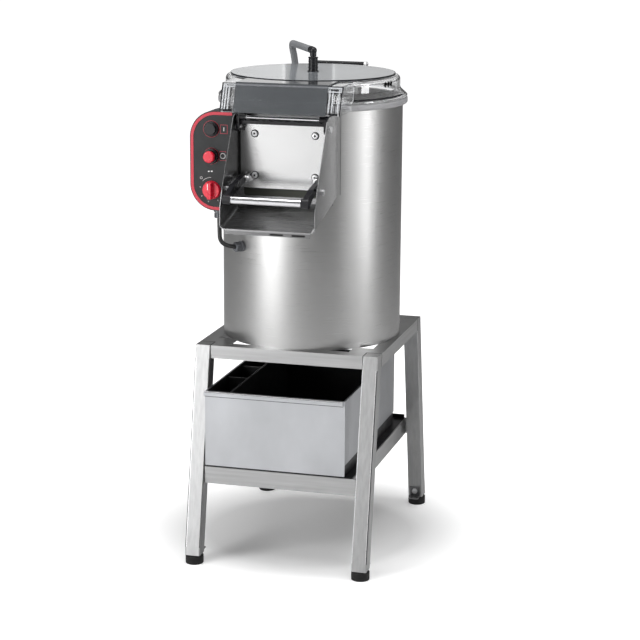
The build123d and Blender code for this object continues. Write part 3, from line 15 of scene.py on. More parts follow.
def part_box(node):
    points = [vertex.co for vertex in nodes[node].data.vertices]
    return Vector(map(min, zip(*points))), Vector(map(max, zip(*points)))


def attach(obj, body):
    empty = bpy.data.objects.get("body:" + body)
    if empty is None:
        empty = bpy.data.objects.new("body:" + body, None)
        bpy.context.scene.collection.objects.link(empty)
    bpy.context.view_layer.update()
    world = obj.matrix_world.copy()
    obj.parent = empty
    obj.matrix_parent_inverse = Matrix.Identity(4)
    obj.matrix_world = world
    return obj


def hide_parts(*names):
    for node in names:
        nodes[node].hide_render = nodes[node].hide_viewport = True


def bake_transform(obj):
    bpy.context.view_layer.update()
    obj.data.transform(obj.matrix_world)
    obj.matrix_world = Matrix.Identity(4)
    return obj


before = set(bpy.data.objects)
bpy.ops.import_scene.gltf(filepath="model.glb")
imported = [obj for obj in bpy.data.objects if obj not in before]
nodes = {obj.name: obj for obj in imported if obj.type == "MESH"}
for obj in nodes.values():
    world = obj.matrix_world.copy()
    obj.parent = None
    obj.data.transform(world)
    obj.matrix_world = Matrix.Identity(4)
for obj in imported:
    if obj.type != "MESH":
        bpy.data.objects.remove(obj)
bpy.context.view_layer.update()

scene = bpy.context.scene

# %% [markdown]
# ## Camera
# A product like this is shot from well back with a long lens, so that uprights stay almost parallel. We
# place the camera by its position and three angles: how far it turns from straight ahead, how far it looks
# down, and a trace of roll. Building the matrix from these angles keeps every number readable.

# %% camera
camera_place = Vector((1.2289, -4.3872, 1.5715))
camera_turn = radians(15.4063)
camera_down = radians(12.9936)
camera_roll = radians(0.3549)

camera_data = bpy.data.cameras.new("studio_camera")
camera_data.sensor_width = 36.0
camera_data.lens = 112.185
camera_data.clip_end = 60.0
camera = bpy.data.objects.new("studio_camera", camera_data)
scene.collection.objects.link(camera)
aim = Matrix.Rotation(camera_turn, 4, "Z") @ Matrix.Rotation(pi / 2 - camera_down, 4, "X")
camera.matrix_world = Matrix.Translation(camera_place) @ aim @ Matrix.Rotation(camera_roll, 4, "Z")
scene.camera = camera
print("camera", [round(v, 3) for v in camera.location], "lens", camera_data.lens)

# %% [markdown]
# ## Materials from one shader
# Every finish here is one Principled shader with a few texture nodes in front of it. Three small helpers
# keep the node work short: one makes the material, one adds a node, one joins two sockets. Values that are
# the same all over a surface are typed straight into the shader's own sockets.

# %% material helpers
def new_finish(name, colour, roughness, metallic=0.0):
    """a material whose Principled shader has this colour, roughness and metallic value"""
    material = bpy.data.materials.new(name)
    material.use_nodes = True
    shader = material.node_tree.nodes["Principled BSDF"]
    shader.inputs["Base Color"].default_value = (*colour, 1.0)
    shader.inputs["Roughness"].default_value = roughness
    shader.inputs["Metallic"].default_value = metallic
    return material, shader


def add_node(material, kind, values=None, **settings):
    """a new node; values are its inputs by name or number, settings its own properties"""
    made = material.node_tree.nodes.new(kind)
    for key, value in settings.items():
        setattr(made, key, value)
    for key, value in (values or {}).items():
        made.inputs[key].default_value = value
    return made


def join(material, source, target):
    material.node_tree.links.new(source, target)


print("material helpers ready")

# %% [markdown]
# ## Wear, tone and relief from noise
# No real surface has one even tone. A noise texture stands for wear and handling, and it can do three jobs:
# move the roughness, tint the colour, or lift the surface a little. The noise is measured in the object's
# own metres, so a scratch keeps its size on every piece. Painted image maps would do the same, but each
# piece would have to be unwrapped for them.

# %% noise helpers
def stretched_noise(material, stretch, scale=1.0, detail=4.0, roughness=0.55):
    """noise in the object's own metres, stretched by a different factor along each axis"""
    place = add_node(material, "ShaderNodeTexCoord")
    mapping = add_node(material, "ShaderNodeMapping", {"Scale": stretch})
    noise = add_node(material, "ShaderNodeTexNoise", {
        "Scale": scale, "Detail": detail, "Roughness": roughness})
    join(material, place.outputs["Object"], mapping.inputs["Vector"])
    join(material, mapping.outputs["Vector"], noise.inputs["Vector"])
    return noise.outputs["Fac"]


def spread(material, source, low, high):
    """maps the middle of a noise to low..high"""
    scaled = add_node(material, "ShaderNodeMapRange", {
        "From Min": 0.3, "From Max": 0.7, "To Min": low, "To Max": high})
    join(material, source, scaled.inputs["Value"])
    return scaled.outputs["Result"]


def tint(material, source, dark, light):
    """a colour that wanders between dark and light with the noise"""
    ramp = add_node(material, "ShaderNodeValToRGB")
    ramp.color_ramp.elements[0].position = 0.32
    ramp.color_ramp.elements[0].color = (*dark, 1.0)
    ramp.color_ramp.elements[1].position = 0.68
    ramp.color_ramp.elements[1].color = (*light, 1.0)
    join(material, source, ramp.inputs["Fac"])
    return ramp.outputs["Color"]


def relief(material, shader, source, depth):
    """turns a noise into bumps of this depth in metres"""
    bump = add_node(material, "ShaderNodeBump", {"Strength": 1.0, "Distance": depth})
    join(material, source, bump.inputs["Height"])
    join(material, bump.outputs["Normal"], shader.inputs["Normal"])


print("noise helpers ready")

# %% [markdown]
# ## Brushed stainless steel
# Stainless sheet is brushed with an abrasive belt, which leaves fine parallel scratches. Light spreads at
# right angles to them: on the drum, brushed round and round, each lamp becomes a soft upright band. We
# could model scratches, but they are thinner than a hair. Instead a noise that is stretched a hundredfold
# along the brushing drives roughness and a very shallow bump, and the shader's anisotropy widens the
# highlight. A second, large noise varies the tone a little, as handling and rolling do.

# %% brushed steel
def brushed_steel(name, colour, stretch, rough=(0.26, 0.36), anisotropy=0.5, depth=0.00002, around_z=False,
                  broad=(5.0, 5.0, 5.0), worn=0.93):
    """broad is the stretch of the large, soft streaks, worn their darkest share of the colour"""
    material, shader = new_finish(name, colour, rough[0], metallic=1.0)
    shader.inputs["Anisotropic"].default_value = anisotropy
    scratches = stretched_noise(material, stretch, detail=5.0)
    join(material, spread(material, scratches, *rough), shader.inputs["Roughness"])
    relief(material, shader, scratches, depth)
    clouds = stretched_noise(material, broad, detail=3.0)
    darker = tuple(channel * worn for channel in colour)
    join(material, tint(material, clouds, darker, colour), shader.inputs["Base Color"])
    if around_z:
        tangent = add_node(material, "ShaderNodeTangent", direction_type="RADIAL", axis="Z")
        join(material, tangent.outputs["Tangent"], shader.inputs["Tangent"])
    return material


steel_colour = (0.46, 0.459, 0.457)
drum_steel = brushed_steel("drum steel", steel_colour, (14.0, 14.0, 1600.0), (0.265, 0.355), 0.7,
                           depth=0.00001, around_z=True)
# the chute's steel is given a darker colour than the drum's: painted shade for the dark its faces mirror
chute_steel = brushed_steel("chute steel", (0.33, 0.33, 0.335), (14.0, 900.0, 900.0), (0.25, 0.32), 0.3,
                            depth=0.000008)
box_steel = brushed_steel("box steel", (0.525, 0.535, 0.555), (30.0, 300.0, 1500.0), (0.34, 0.4), 0.2,
                          depth=0.000005, broad=(9.0, 9.0, 6.0), worn=0.86)
print("steels:", drum_steel.name, chute_steel.name, box_steel.name)

# %% [markdown]
# ## Steel of the stand and the door
# The same recipe serves the stand. Its tubes are brushed along their length, so the scratches of the legs
# run upright and those of the rails lie level, and the large streaks follow them. The door plate is a
# smoother sheet that mirrors more.

# %% stand and door steel
upright_steel = brushed_steel("stand steel", (0.43, 0.431, 0.433), (900.0, 900.0, 14.0), (0.37, 0.47), 0.3,
                              broad=(170.0, 170.0, 4.0), worn=0.85)
rail_steel = brushed_steel("rail steel", (0.47, 0.471, 0.473), (14.0, 14.0, 900.0), (0.3, 0.4), 0.3,
                           broad=(6.0, 6.0, 150.0), worn=0.85)
# the anchor tabs' steel is much darker than the stand's: painted shade, as the tabs are seen edge-on
tab_steel = brushed_steel("tab steel", (0.2, 0.2, 0.205), (60.0, 60.0, 60.0), (0.3, 0.4), 0.1)
door_steel = brushed_steel("door steel", (0.7, 0.7, 0.7), (12.0, 300.0, 900.0), (0.16, 0.22), 0.4,
                           depth=0.000004)
print("steels:", upright_steel.name, rail_steel.name, tab_steel.name, door_steel.name)

# %% [markdown]
# ## Shade under the chute's turned-down edge
# Below the edge of the chute the sheet turns down and faces the dark floor of the stand. In a studio one
# would hold a black card there. It is simpler to let the steel's own colour fall to a share of itself below
# that height: a height from the object's coordinates, a short ramp, and a multiply in front of the colour.

# %% shade below an edge
def darker_below(material, level, soft, share):
    """the colour falls to this share below a height, as under a turned-down edge"""
    shader = material.node_tree.nodes["Principled BSDF"]
    colour = shader.inputs["Base Color"].links[0].from_socket
    place = add_node(material, "ShaderNodeTexCoord")
    split = add_node(material, "ShaderNodeSeparateXYZ")
    fall = add_node(material, "ShaderNodeMapRange", {
        "From Min": level - soft, "From Max": level, "To Min": share, "To Max": 1.0})
    mixed = add_node(material, "ShaderNodeMix", {0: 1.0}, data_type="RGBA", blend_type="MULTIPLY")
    join(material, place.outputs["Object"], split.inputs["Vector"])
    join(material, split.outputs["Z"], fall.inputs["Value"])
    join(material, colour, mixed.inputs[6])
    join(material, fall.outputs["Result"], mixed.inputs[7])
    join(material, mixed.outputs[2], shader.inputs["Base Color"])


chute_edge = 0.7925
darker_below(chute_steel, chute_edge, soft=0.001, share=0.6)
print("shade on", chute_steel.name, "below", chute_edge)

# %% [markdown]
# ## Polished and machined metal
# The latch tube and the rod above the door are chromed: almost a mirror, with the faintest drawing marks
# along the tube. Screws and studs are turned on a lathe and stay a little rougher. The water valve is
# brass, and the pulleys and the bearing housing are cast iron.

# %% chrome and turned metal
chrome, chrome_shader = new_finish("chrome", (0.83, 0.83, 0.85), 0.1, metallic=1.0)
drawing = stretched_noise(chrome, (20.0, 1200.0, 1200.0), detail=3.0)
join(chrome, spread(chrome, drawing, 0.09, 0.12), chrome_shader.inputs["Roughness"])

turned_steel, turned_shader = new_finish("turned steel", (0.8, 0.8, 0.81), 0.3, metallic=1.0)
lathe_marks = stretched_noise(turned_steel, (500.0, 500.0, 500.0), detail=2.0)
join(turned_steel, spread(turned_steel, lathe_marks, 0.24, 0.4), turned_shader.inputs["Roughness"])

brass, brass_shader = new_finish("turned brass", (0.62, 0.44, 0.18), 0.3, metallic=1.0)
brass_marks = stretched_noise(brass, (300.0, 300.0, 300.0), detail=3.0)
join(brass, spread(brass, brass_marks, 0.22, 0.4), brass_shader.inputs["Roughness"])

cast_iron, cast_shader = new_finish("cast and turned iron", (0.2, 0.2, 0.21), 0.5, metallic=0.9)
cast_grain = stretched_noise(cast_iron, (1.0, 1.0, 1.0), scale=260.0, detail=4.0)
relief(cast_iron, cast_shader, cast_grain, 0.0003)
print("bright metals done")

# %% [markdown]
# ## Moulded plastics and rubber
# Injection-moulded parts are spark-eroded: a fine, even grain that breaks up the highlight. The same
# recipe, with another colour, grain size and gloss, gives the black panel, the red controls, the grey rim,
# the hose and the rubber feet.

# %% moulded plastics
def moulded(name, colour, rough, grain=900.0, depth=0.00005, worn=0.08, coat=0.0, specular=0.5):
    """grain is the fineness of the texture, worn how far the roughness wanders"""
    material, shader = new_finish(name, colour, rough)
    shader.inputs["Specular IOR Level"].default_value = specular
    shader.inputs["Coat Weight"].default_value = coat
    shader.inputs["Coat Roughness"].default_value = 0.12
    pores = stretched_noise(material, (1.0, 1.0, 1.0), scale=grain, detail=2.0)
    relief(material, shader, pores, depth)
    patches = stretched_noise(material, (1.0, 1.0, 1.0), scale=28.0, detail=3.0)
    join(material, spread(material, patches, rough - worn, rough + worn), shader.inputs["Roughness"])
    lighter = tuple(min(1.0, channel * 1.12 + 0.002) for channel in colour)
    join(material, tint(material, patches, colour, lighter), shader.inputs["Base Color"])
    return material


black_plastic = moulded("black plastic", (0.008, 0.008, 0.01), 0.3, specular=0.35)
face_black = moulded("panel face black", (0.012, 0.013, 0.014), 0.5, grain=1500.0, specular=0.36)
housing_grey = moulded("housing dark grey", (0.05, 0.052, 0.056), 0.5)
rim_grey = moulded("rim grey", (0.33, 0.33, 0.34), 0.36, worn=0.12)
signal_red = moulded("signal red", (0.62, 0.006, 0.03), 0.3, depth=0.00002, coat=0.3)
border_red = moulded("border red", (0.5, 0.022, 0.045), 0.45, depth=0.00002)
print_white = moulded("print white", (0.82, 0.82, 0.82), 0.5, depth=0.00001)
foot_rubber = moulded("foot rubber", (0.008, 0.008, 0.008), 0.5, grain=500.0, depth=0.0001, specular=0.25)
seal_rubber = moulded("seal rubber", (0.035, 0.038, 0.028), 0.62, grain=500.0, depth=0.0001)
cable_rubber = moulded("cable rubber", (0.012, 0.012, 0.012), 0.45, grain=700.0)
hose_grey = moulded("hose grey", (0.2, 0.205, 0.215), 0.38, grain=700.0)
gland_grey = moulded("gland grey", (0.12, 0.125, 0.135), 0.42)
rod_grey = moulded("hinge rod grey", (0.5, 0.5, 0.51), 0.3, depth=0.00001)
# the liner's black is its own black plastic and also painted shade inside the shelf
liner_and_shade_black = moulded("liner and shade black", (0.006, 0.006, 0.007), 0.4)
print("plastics and rubbers done")

# %% [markdown]
# ## Clear and smoked plastic
# The hood is clear polycarbonate and the disc and front panel are smoked. Both are real transmission with
# the plastic's refractive index. The hood keeps a faint haze from wiping, which is a little roughness that
# wanders. The smoke tone sits in the base colour, which tints the light that passes through.

# %% clear and smoked plastic
polycarbonate_index = 1.58


def see_through(name, colour, rough, weight, haze):
    """weight is the share of light that passes, haze how far the roughness wanders"""
    material, shader = new_finish(name, colour, rough)
    shader.inputs["Transmission Weight"].default_value = weight
    shader.inputs["IOR"].default_value = polycarbonate_index
    shader.inputs["Coat Weight"].default_value = 0.5
    wiping = stretched_noise(material, (9.0, 9.0, 40.0), detail=3.0)
    join(material, spread(material, wiping, rough, rough + haze), shader.inputs["Roughness"])
    return material


clear_plastic = see_through("clear plastic", (0.95, 0.955, 0.96), 0.02, 0.97, 0.03)
smoke_disc = see_through("smoke disc", (0.5, 0.53, 0.56), 0.1, 0.4, 0.05)
smoke_panel = see_through("smoke panel", (0.13, 0.14, 0.15), 0.06, 0.5, 0.05)
print("see-through plastics done")

# %% [markdown]
# ## Abrasive grit and motor enamel
# The turning plate and the drum's lining are coated with silicon carbide grains in resin: dark, glittering
# and rough. A Voronoi texture gives separate grains; its distance drives the bump, and a noise shifts the
# colour from grain to grain. The motor wears a thick enamel, which is the moulded finish with a coarser
# grain.

# %% abrasive grit and enamel
abrasive_grit, grit_shader = new_finish("abrasive grit", (0.05, 0.048, 0.045), 0.7)
grit_place = add_node(abrasive_grit, "ShaderNodeTexCoord")
grit_cells = add_node(abrasive_grit, "ShaderNodeTexVoronoi", {"Scale": 420.0})
join(abrasive_grit, grit_place.outputs["Object"], grit_cells.inputs["Vector"])
relief(abrasive_grit, grit_shader, grit_cells.outputs["Distance"], 0.0012)
grit_tone = stretched_noise(abrasive_grit, (1.0, 1.0, 1.0), scale=600.0, detail=1.0)
join(abrasive_grit, tint(abrasive_grit, grit_tone, (0.02, 0.02, 0.02), (0.13, 0.12, 0.11)),
     grit_shader.inputs["Base Color"])

motor_paint = moulded("motor enamel", (0.03, 0.05, 0.075), 0.35, grain=200.0, depth=0.0001)
print("grit and enamel done")

# %% [markdown]
# ## One finish for each solid
# A table from finish to solids is the clearest way to dress carried-over parts: one line per family, and a
# check that no solid was forgotten.

# %% finishes for the solids
finishes = {
    drum_steel: ["drum_shell", "drum_floor", "hinge_bracket"],
    chute_steel: ["chute", "motor_plate"],
    box_steel: ["filter_box"],
    tab_steel: ["anchor_tabs"],
    upright_steel: ["stand_legs"],
    rail_steel: ["top_rails", "shelf_frame"],
    door_steel: ["door_plate"],
    chrome: ["handle_tube", "yoke_rod"],
    turned_steel: ["foot_studs", "anchor_bolts", "drum_bolts", "drive_shaft", "door_bolts", "door_pivots",
                   "keeper_studs", "arm_bolts"],
    rod_grey: ["hinge_rod"],
    brass: ["water_valve"],
    cast_iron: ["bearing_housing", "driven_pulley", "motor_pulley"],
    black_plastic: ["door_yoke", "handle_arms", "inlet_fitting", "inlet_elbow", "lid_hinge_arm",
                    "button_bezels", "start_button", "arm_rests", "waste_outlet"],
    liner_and_shade_black: ["box_liner", "box_baffle", "shelf_panel"],
    face_black: ["panel_face"],
    housing_grey: ["panel_housing", "switch_blocks"],
    rim_grey: ["rim_ring"],
    signal_red: ["stop_button", "timer_knob"],
    border_red: ["panel_border"],
    foot_rubber: ["foot_front_left", "foot_front_right", "foot_rear_left", "foot_rear_right"],
    seal_rubber: ["door_seal"],
    cable_rubber: ["control_cable", "drive_belt"],
    hose_grey: ["water_hose"],
    gland_grey: ["cable_glands"],
    clear_plastic: ["lid_hood"],
    smoke_disc: ["lid_disc"],
    smoke_panel: ["lid_front_panel"],
    abrasive_grit: ["abrasive_plate", "abrasive_lining"],
    motor_paint: ["motor"],
}
print("finishes:", len(finishes))

# %% [markdown]
# ## Dressing the solids
# A mesh from CAD may bring a plain material of its own. We clear its slots and append the finish from the
# table. The set of undressed solids has to be empty at the end, or a piece would stay grey unnoticed.

# %% dress the solids
undressed = set(nodes)
for finish, members in finishes.items():
    for member in members:
        nodes[member].data.materials.clear()
        nodes[member].data.materials.append(finish)
        undressed.discard(member)
assert not undressed, undressed
print("dressed:", len(nodes))

# %% [markdown]
# ## Places taken from the solids
# Small pieces sit on solids that already exist, so most of their places are read from those solids' boxes
# and move along when a dimension changes in CAD. A few radii and heights can't be read from a box and are
# typed. `mm` keeps the numbers in the unit of the trade.

# %% places
mm = 0.001
drum_radius = 0.2057
hood_radius = 0.199
disc_radius = 0.1875


def low(node):
    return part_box(node)[0]


def high(node):
    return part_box(node)[1]


def middle(node):
    return [(a + b) / 2 for a, b in zip(low(node), high(node))]


panel_front = low("panel_face")[1]
start, stop, knob = middle("start_button"), middle("stop_button"), middle("timer_knob")
wall_height = 0.047
hood_high = high("lid_hood")[2]
hood_low = hood_high - wall_height
skirt_radius = high("lid_hood")[0]
box_low, box_high = low("filter_box"), high("filter_box")
stand_high = high("top_rails")[2]
stand_front = low("top_rails")[1]
print("panel front", round(panel_front, 4), "hood", round(hood_low, 4), round(hood_high, 4))

# %% [markdown]
# ## Lines in a flat drawing
# Printed signs, seams and moulded ribs are all narrow strips. Each begins as a line in a flat drawing: a
# list of points with a place across and a height. Circles and rectangles are common enough to have a helper
# each. A third helper finds the direction across the line and stretches it at a corner, which is a mitre.

# %% points of a line
def arc(centre, radius, begin=0.0, end=360.0, steps=40):
    """points on a circle in a flat drawing, angles in degrees"""
    angles = [radians(begin + (end - begin) * step / steps) for step in range(steps + 1)]
    return [(centre[0] + radius * cos(angle), centre[1] + radius * sin(angle)) for angle in angles]


def block(centre, width, height):
    """corners of an upright rectangle, once round and back to the first"""
    x, z = centre
    corners = [(-1, -1), (1, -1), (1, 1), (-1, 1), (-1, -1)]
    return [(x + side * width / 2, z + level * height / 2) for side, level in corners]


def mitred(points, index, closed):
    """direction across the line at one point, longer at a corner so that the width stays even"""
    last = len(points) - 1
    before = points[index - 1] if closed or index > 0 else points[index]
    after = points[(index + 1) % len(points)] if closed or index < last else points[index]
    ways = [way.normalized() for way in (points[index] - before, after - points[index]) if way.length > 0]
    along = sum(ways, Vector((0.0, 0.0))).normalized()
    return Vector((-along.y, along.x)) / max(0.35, along.dot(ways[-1]))


print("line tools ready")

# %% [markdown]
# ## Strips laid on a surface
# One function turns such a line into a strip: it walks along the line, gives it a width and a height, and
# asks `wrap` where each point lies in space. A different `wrap` lays the same strip on a plane or on a
# drum. A curve with a bevel could do it too, but its ends and corners are harder to keep square.

# %% strips
def lay_strip(mesh, line, width, height, wrap):
    """adds a strip along the line; wrap turns (across, height, lift) into a place in space"""
    points = [Vector(point) for point in line]
    closed = (points[0] - points[-1]).length < 1e-7
    if closed:
        points = points[:-1]
    rungs = []
    for index, point in enumerate(points):
        half = mitred(points, index, closed) * width / 2
        spots = ((point - half, 0.0), (point - half, height), (point + half, height), (point + half, 0.0))
        rungs.append([mesh.verts.new(wrap(spot.x, spot.y, lift)) for spot, lift in spots])
    pairs = list(zip(rungs, rungs[1:])) + ([(rungs[-1], rungs[0])] if closed else [])
    for one, two in pairs:
        for a, b in ((0, 1), (1, 2), (2, 3)):
            mesh.faces.new((one[a], one[b], two[b], two[a]))
    if not closed:
        mesh.faces.new(rungs[0])
        mesh.faces.new(rungs[-1])


print("strip tool ready")

# %% [markdown]
# ## From mesh to object
# A bmesh is only a workbench. To be seen it has to become mesh data inside an object, with its faces turned
# outwards and a finish in its slot. Each object then rides on the body it belongs to, so it moves when that
# body moves. Small strips that wear one finish are kept as one object, as one pass of the printer would
# make them.

# %% objects from meshes
def keep_mesh(name, mesh, body, finish, smooth=False):
    """turns a bmesh into an object that rides on a body and wears a finish"""
    bmesh.ops.recalc_face_normals(mesh, faces=mesh.faces)
    data = bpy.data.meshes.new(name)
    mesh.to_mesh(data)
    mesh.free()
    made = bpy.data.objects.new(name, data)
    scene.collection.objects.link(made)
    data.materials.append(finish)
    for face in data.polygons:
        face.use_smooth = smooth
    if body:
        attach(made, body)
    return made


def strips(name, body, finish, lines, wrap, height=0.3 * mm):
    """one object from several strips, each a (line, width)"""
    mesh = bmesh.new()
    for line, width in lines:
        lay_strip(mesh, line, width, height, wrap)
    return keep_mesh(name, mesh, body, finish)


print("object tools ready")

# %% [markdown]
# ## Signs on the control panel
# The start sign is a bar in a square, the stop sign a ring between two brackets, and a thin red ring runs
# round each button. They are pad-printed: a film of ink with a crisp edge. We lay them a third of a
# millimetre proud, which reads as ink at any distance and never flickers against the face.

# %% signs by the buttons
ink_red = moulded("ink red", (0.34, 0.012, 0.03), 0.4, depth=0.00001)
ink_white = moulded("ink white", (0.45, 0.44, 0.44), 0.5, depth=0.00001)


def on_panel(u, v, lift):
    return Vector((u, panel_front - lift, v))


def beside(control, right, above):
    """a point of the panel given from a control's centre, in millimetres"""
    return control[0] + right * mm, control[2] + above * mm


def bracket(centre, toward):
    """three sides of a flat frame above (1) or below (-1) a sign"""
    corners = ((-7, 7.5), (-7, 10), (7, 10), (7, 7.5))
    return [(centre[0] + x * mm, centre[1] + toward * z * mm) for x, z in corners]


start_sign = beside(start, 29.2, 0.4)
stop_sign = beside(stop, 26.6, 1.2)
start_ring = arc(beside(start, 0, 0), 18.2 * mm)
stop_ring = arc(beside(stop, 0, 0), 18.0 * mm)
start_frame = block(start_sign, 16 * mm, 19 * mm)
red_signs = [(start_ring, 1.1 * mm), (stop_ring, 0.7 * mm), (start_frame, 1.0 * mm),
             (bracket(stop_sign, 1), 0.9 * mm), (bracket(stop_sign, -1), 0.9 * mm)]
strips("panel_signs_red", "machine", ink_red, red_signs, on_panel)
print("red signs:", len(red_signs))

# %% [markdown]
# ## Dial of the timer
# Round the knob run a short arc and four ticks, with an off ring at one end and two bright dashes above.
# The knob itself turns, so its white pointer rides on the knob and not on the machine.

# %% dial and pointer
dial = beside(knob, 0, 0)
start_bar = [(start_sign[0], start_sign[1] - 4.2 * mm), (start_sign[0], start_sign[1] + 4.2 * mm)]
ticks = [[arc(dial, reach * mm, at, at, 1)[0] for reach in (25.5, 28.5)] for at in (168, 212, 254, 303)]
off_ring = arc(beside(knob, -23.8, 26.5), 2.5 * mm)
dial_arc = arc(dial, 28.4 * mm, 92, 136, 12)
white_signs = [(start_bar, 2.0 * mm), (arc(stop_sign, 5.6 * mm), 1.5 * mm), (off_ring, 1.0 * mm),
               (dial_arc, 1.0 * mm)] + [(tick, 1.3 * mm) for tick in ticks]
strips("panel_signs_white", "machine", ink_white, white_signs, on_panel)
dashes = [[beside(knob, -8.2, 41.6), beside(knob, -4.4, 41.6)],
          [beside(knob, -1.2, 42.0), beside(knob, 2.6, 42.0)]]
strips("panel_signs_bright", "machine", print_white, [(dash, 2.6 * mm) for dash in dashes], on_panel)

grip_front = low("timer_knob")[1]


def on_grip(u, v, lift):
    return Vector((u, grip_front - lift, v))


pointer = [beside(knob, -3.2, 3.0), beside(knob, -3.2, 16.5)]
strips("knob_pointer", "timer_knob", print_white, [(pointer, 1.6 * mm)], on_grip)
print("ticks:", len(ticks))

# %% [markdown]
# ## Surfaces of the lid
# The lid has a round wall, a skirt that slopes outwards below it, a front that leans out and a disc on top.
# Each gets a `wrap`, so that a mark can be given by its place round the wall and its height. Two black
# finishes and a clear one serve all the small parts of the lid.

# %% lid surfaces
# this black serves the lid's dark joints and also paints shade: in the lid's corners, round the clip and
# round the door's bolts
bead_and_shade_black = moulded("bead and shade black", (0.012, 0.012, 0.014), 0.6, grain=600.0, specular=0.12)
mark_black = moulded("mark black", (0.002, 0.002, 0.002), 0.85, depth=0.00001, specular=0.02)
rib_clear, rib_shader = new_finish("rib clear", (0.72, 0.74, 0.77), 0.12)
rib_shader.inputs["Transmission Weight"].default_value = 0.35
rib_shader.inputs["Coat Weight"].default_value = 0.6
rib_waves = stretched_noise(rib_clear, (60.0, 60.0, 15.0), detail=2.0)
relief(rib_clear, rib_shader, rib_waves, 0.0006)
join(rib_clear, spread(rib_clear, rib_waves, 0.08, 0.22), rib_shader.inputs["Roughness"])

front_high_y, front_low_y = -0.2473, low("lid_hood")[1]
front_low_z = 1.036
skirt_rise = 12 * mm


def round_wall(radius):
    """a wrap for a round wall; u runs round it as a length, from the +X side"""
    def wrap(u, v, lift):
        angle = u / radius
        return Vector(((radius + lift) * cos(angle), (radius + lift) * sin(angle), v))
    return wrap


on_hood, on_disc = round_wall(hood_radius), round_wall(disc_radius)


def on_hood_front(u, v, lift):
    """the lid's front leans out towards its lower edge"""
    down = (hood_high - v) / (hood_high - front_low_z)
    return Vector((u, front_high_y + (front_low_y - front_high_y) * down - lift, v))


def on_skirt(u, v, lift):
    """the lid's skirt slopes outwards below the wall"""
    angle = u / hood_radius
    slope = (skirt_radius - hood_radius - 3 * mm) / skirt_rise
    out = skirt_radius - (v - hood_low - 2.5 * mm) * slope + lift
    return Vector((out * cos(angle), out * sin(angle), v))


print("skirt radius", round(skirt_radius, 4))

# %% [markdown]
# ## Marks and joints of the lid
# Three slanted marks near the right side show which way the lid shuts, and a fine line leads to them. Where
# the round wall meets the front there is a moulded joint. A dark line runs along the skirt, where the lid
# meets the rim, and another round the edge of the disc, where the smoked sheet is cut and its full depth
# shows.

# %% marks and joints
def round_hood(degrees):
    return radians(degrees) * hood_radius


def level_line(radius, height, begin, end, step):
    """a line at one height along a round wall, from one angle to another"""
    return [(radians(at) * radius, height) for at in range(begin, end, step)]


shut_marks = [([(round_hood(at) - 2.4 * mm, 1.0806), (round_hood(at) + 2.4 * mm, 1.0896)], 9.0 * mm)
              for at in (-20.4, -16.9, -13.4)]
strips("shut_marks", "lid", mark_black, shut_marks, on_hood, height=0.5 * mm)
shut_line = [(round_hood(-26.5), 1.0888), (round_hood(-21.6), 1.0846)]
strips("shut_line", "lid", gland_grey, [(shut_line, 0.8 * mm)], on_hood)
hood_joint = [(round_hood(-48.6), 1.062), (round_hood(-48.6), 1.0965)]
strips("hood_joint", "lid", rib_clear, [(hood_joint, 2.2 * mm)], on_hood, height=0.9 * mm)
skirt_line = level_line(hood_radius, hood_low + 7.0 * mm, -49, 2, 3)
strips("skirt_line", "lid", bead_and_shade_black, [(skirt_line, 2.2 * mm)], on_skirt, height=0.5 * mm)
disc_line = level_line(disc_radius, high("lid_disc")[2] - 1.7 * mm, -180, 181, 3)
strips("disc_edge", "lid", bead_and_shade_black, [(disc_line, 3.0 * mm)], on_disc, height=0.2 * mm)
print("shut marks:", len(shut_marks))

# %% [markdown]
# ## Ribs and clip at the lid's corners
# Both front corners are stiffened with upright ribs of clear plastic. Dark lines between them are painted
# shade, where one looks into the hollow corner. The right corner carries a clip with a clear frame, a
# painted shadow round it and a dark line of painted shade across it, and the smoke panel ends in a
# thicker lip along its top.

# %% ribs and clip
def uprights(places, bottom, top):
    """upright lines on the lid's front, from pairs of (place, width) in millimetres"""
    return [([(x * mm, bottom), (x * mm, top)], wide * mm) for x, wide in places]


def level(left, right, height):
    return [(left * mm, height), (right * mm, height)]


rib_places = [(x, 2.6) for x in (-131, -125, -118.5, 109, 116, 129.5)]
strips("corner_ribs", "lid", rib_clear, uprights(rib_places, 1.042, 1.092), on_hood_front, height=0.9 * mm)
corner_top = block((-117.5 * mm, 1.0925), 24 * mm, 5 * mm)
strips("corner_tops", "lid", rib_clear, [(corner_top, 1.6 * mm)], on_hood_front, height=1.0 * mm)
# dark lines painted as shade in the hollow corners
dark_places = [(-134.6, 1.6), (-128.0, 1.1), (-121.8, 1.2), (-114.0, 1.4),
               (104.0, 1.8), (112.6, 1.1), (122.5, 1.4), (134.8, 1.8)]
corner_foot_shades = [(level(-128, -108, 1.0398), 5.4 * mm), (level(110, 130, 1.039), 3.4 * mm)]
strips("corner_shades", "lid", bead_and_shade_black, corner_foot_shades + uprights(dark_places, 1.038, 1.088), on_hood_front)

clip = (119 * mm, 1.0898)
# a dark outline round the clip and a dark line across it are painted shade
clip_outline = [(block(clip, 35.5 * mm, 12.4 * mm), 1.8 * mm)]
clip_frame = [(block(clip, 30 * mm, 8.4 * mm), 2.4 * mm)]
clip_slot_shade = [(level(110, 128, clip[1]), 2.0 * mm)]
strips("clip_outline", "lid", bead_and_shade_black, clip_outline, on_hood_front)
strips("clip_frame", "lid", rib_clear, clip_frame, on_hood_front, height=1.8 * mm)
strips("clip_slot_shade", "lid", bead_and_shade_black, clip_slot_shade, on_hood_front, height=1.0 * mm)
panel_lip = moulded("front panel lip", (0.13, 0.135, 0.145), 0.25, depth=0.00001, coat=0.5)
lip_line = level(-103, 103, 1.0945)
strips("front_panel_lip", "lid", panel_lip, [(lip_line, 3.4 * mm)], on_hood_front, height=3.2 * mm)
print("ribs:", len(rib_places), "dark lines:", len(dark_places))
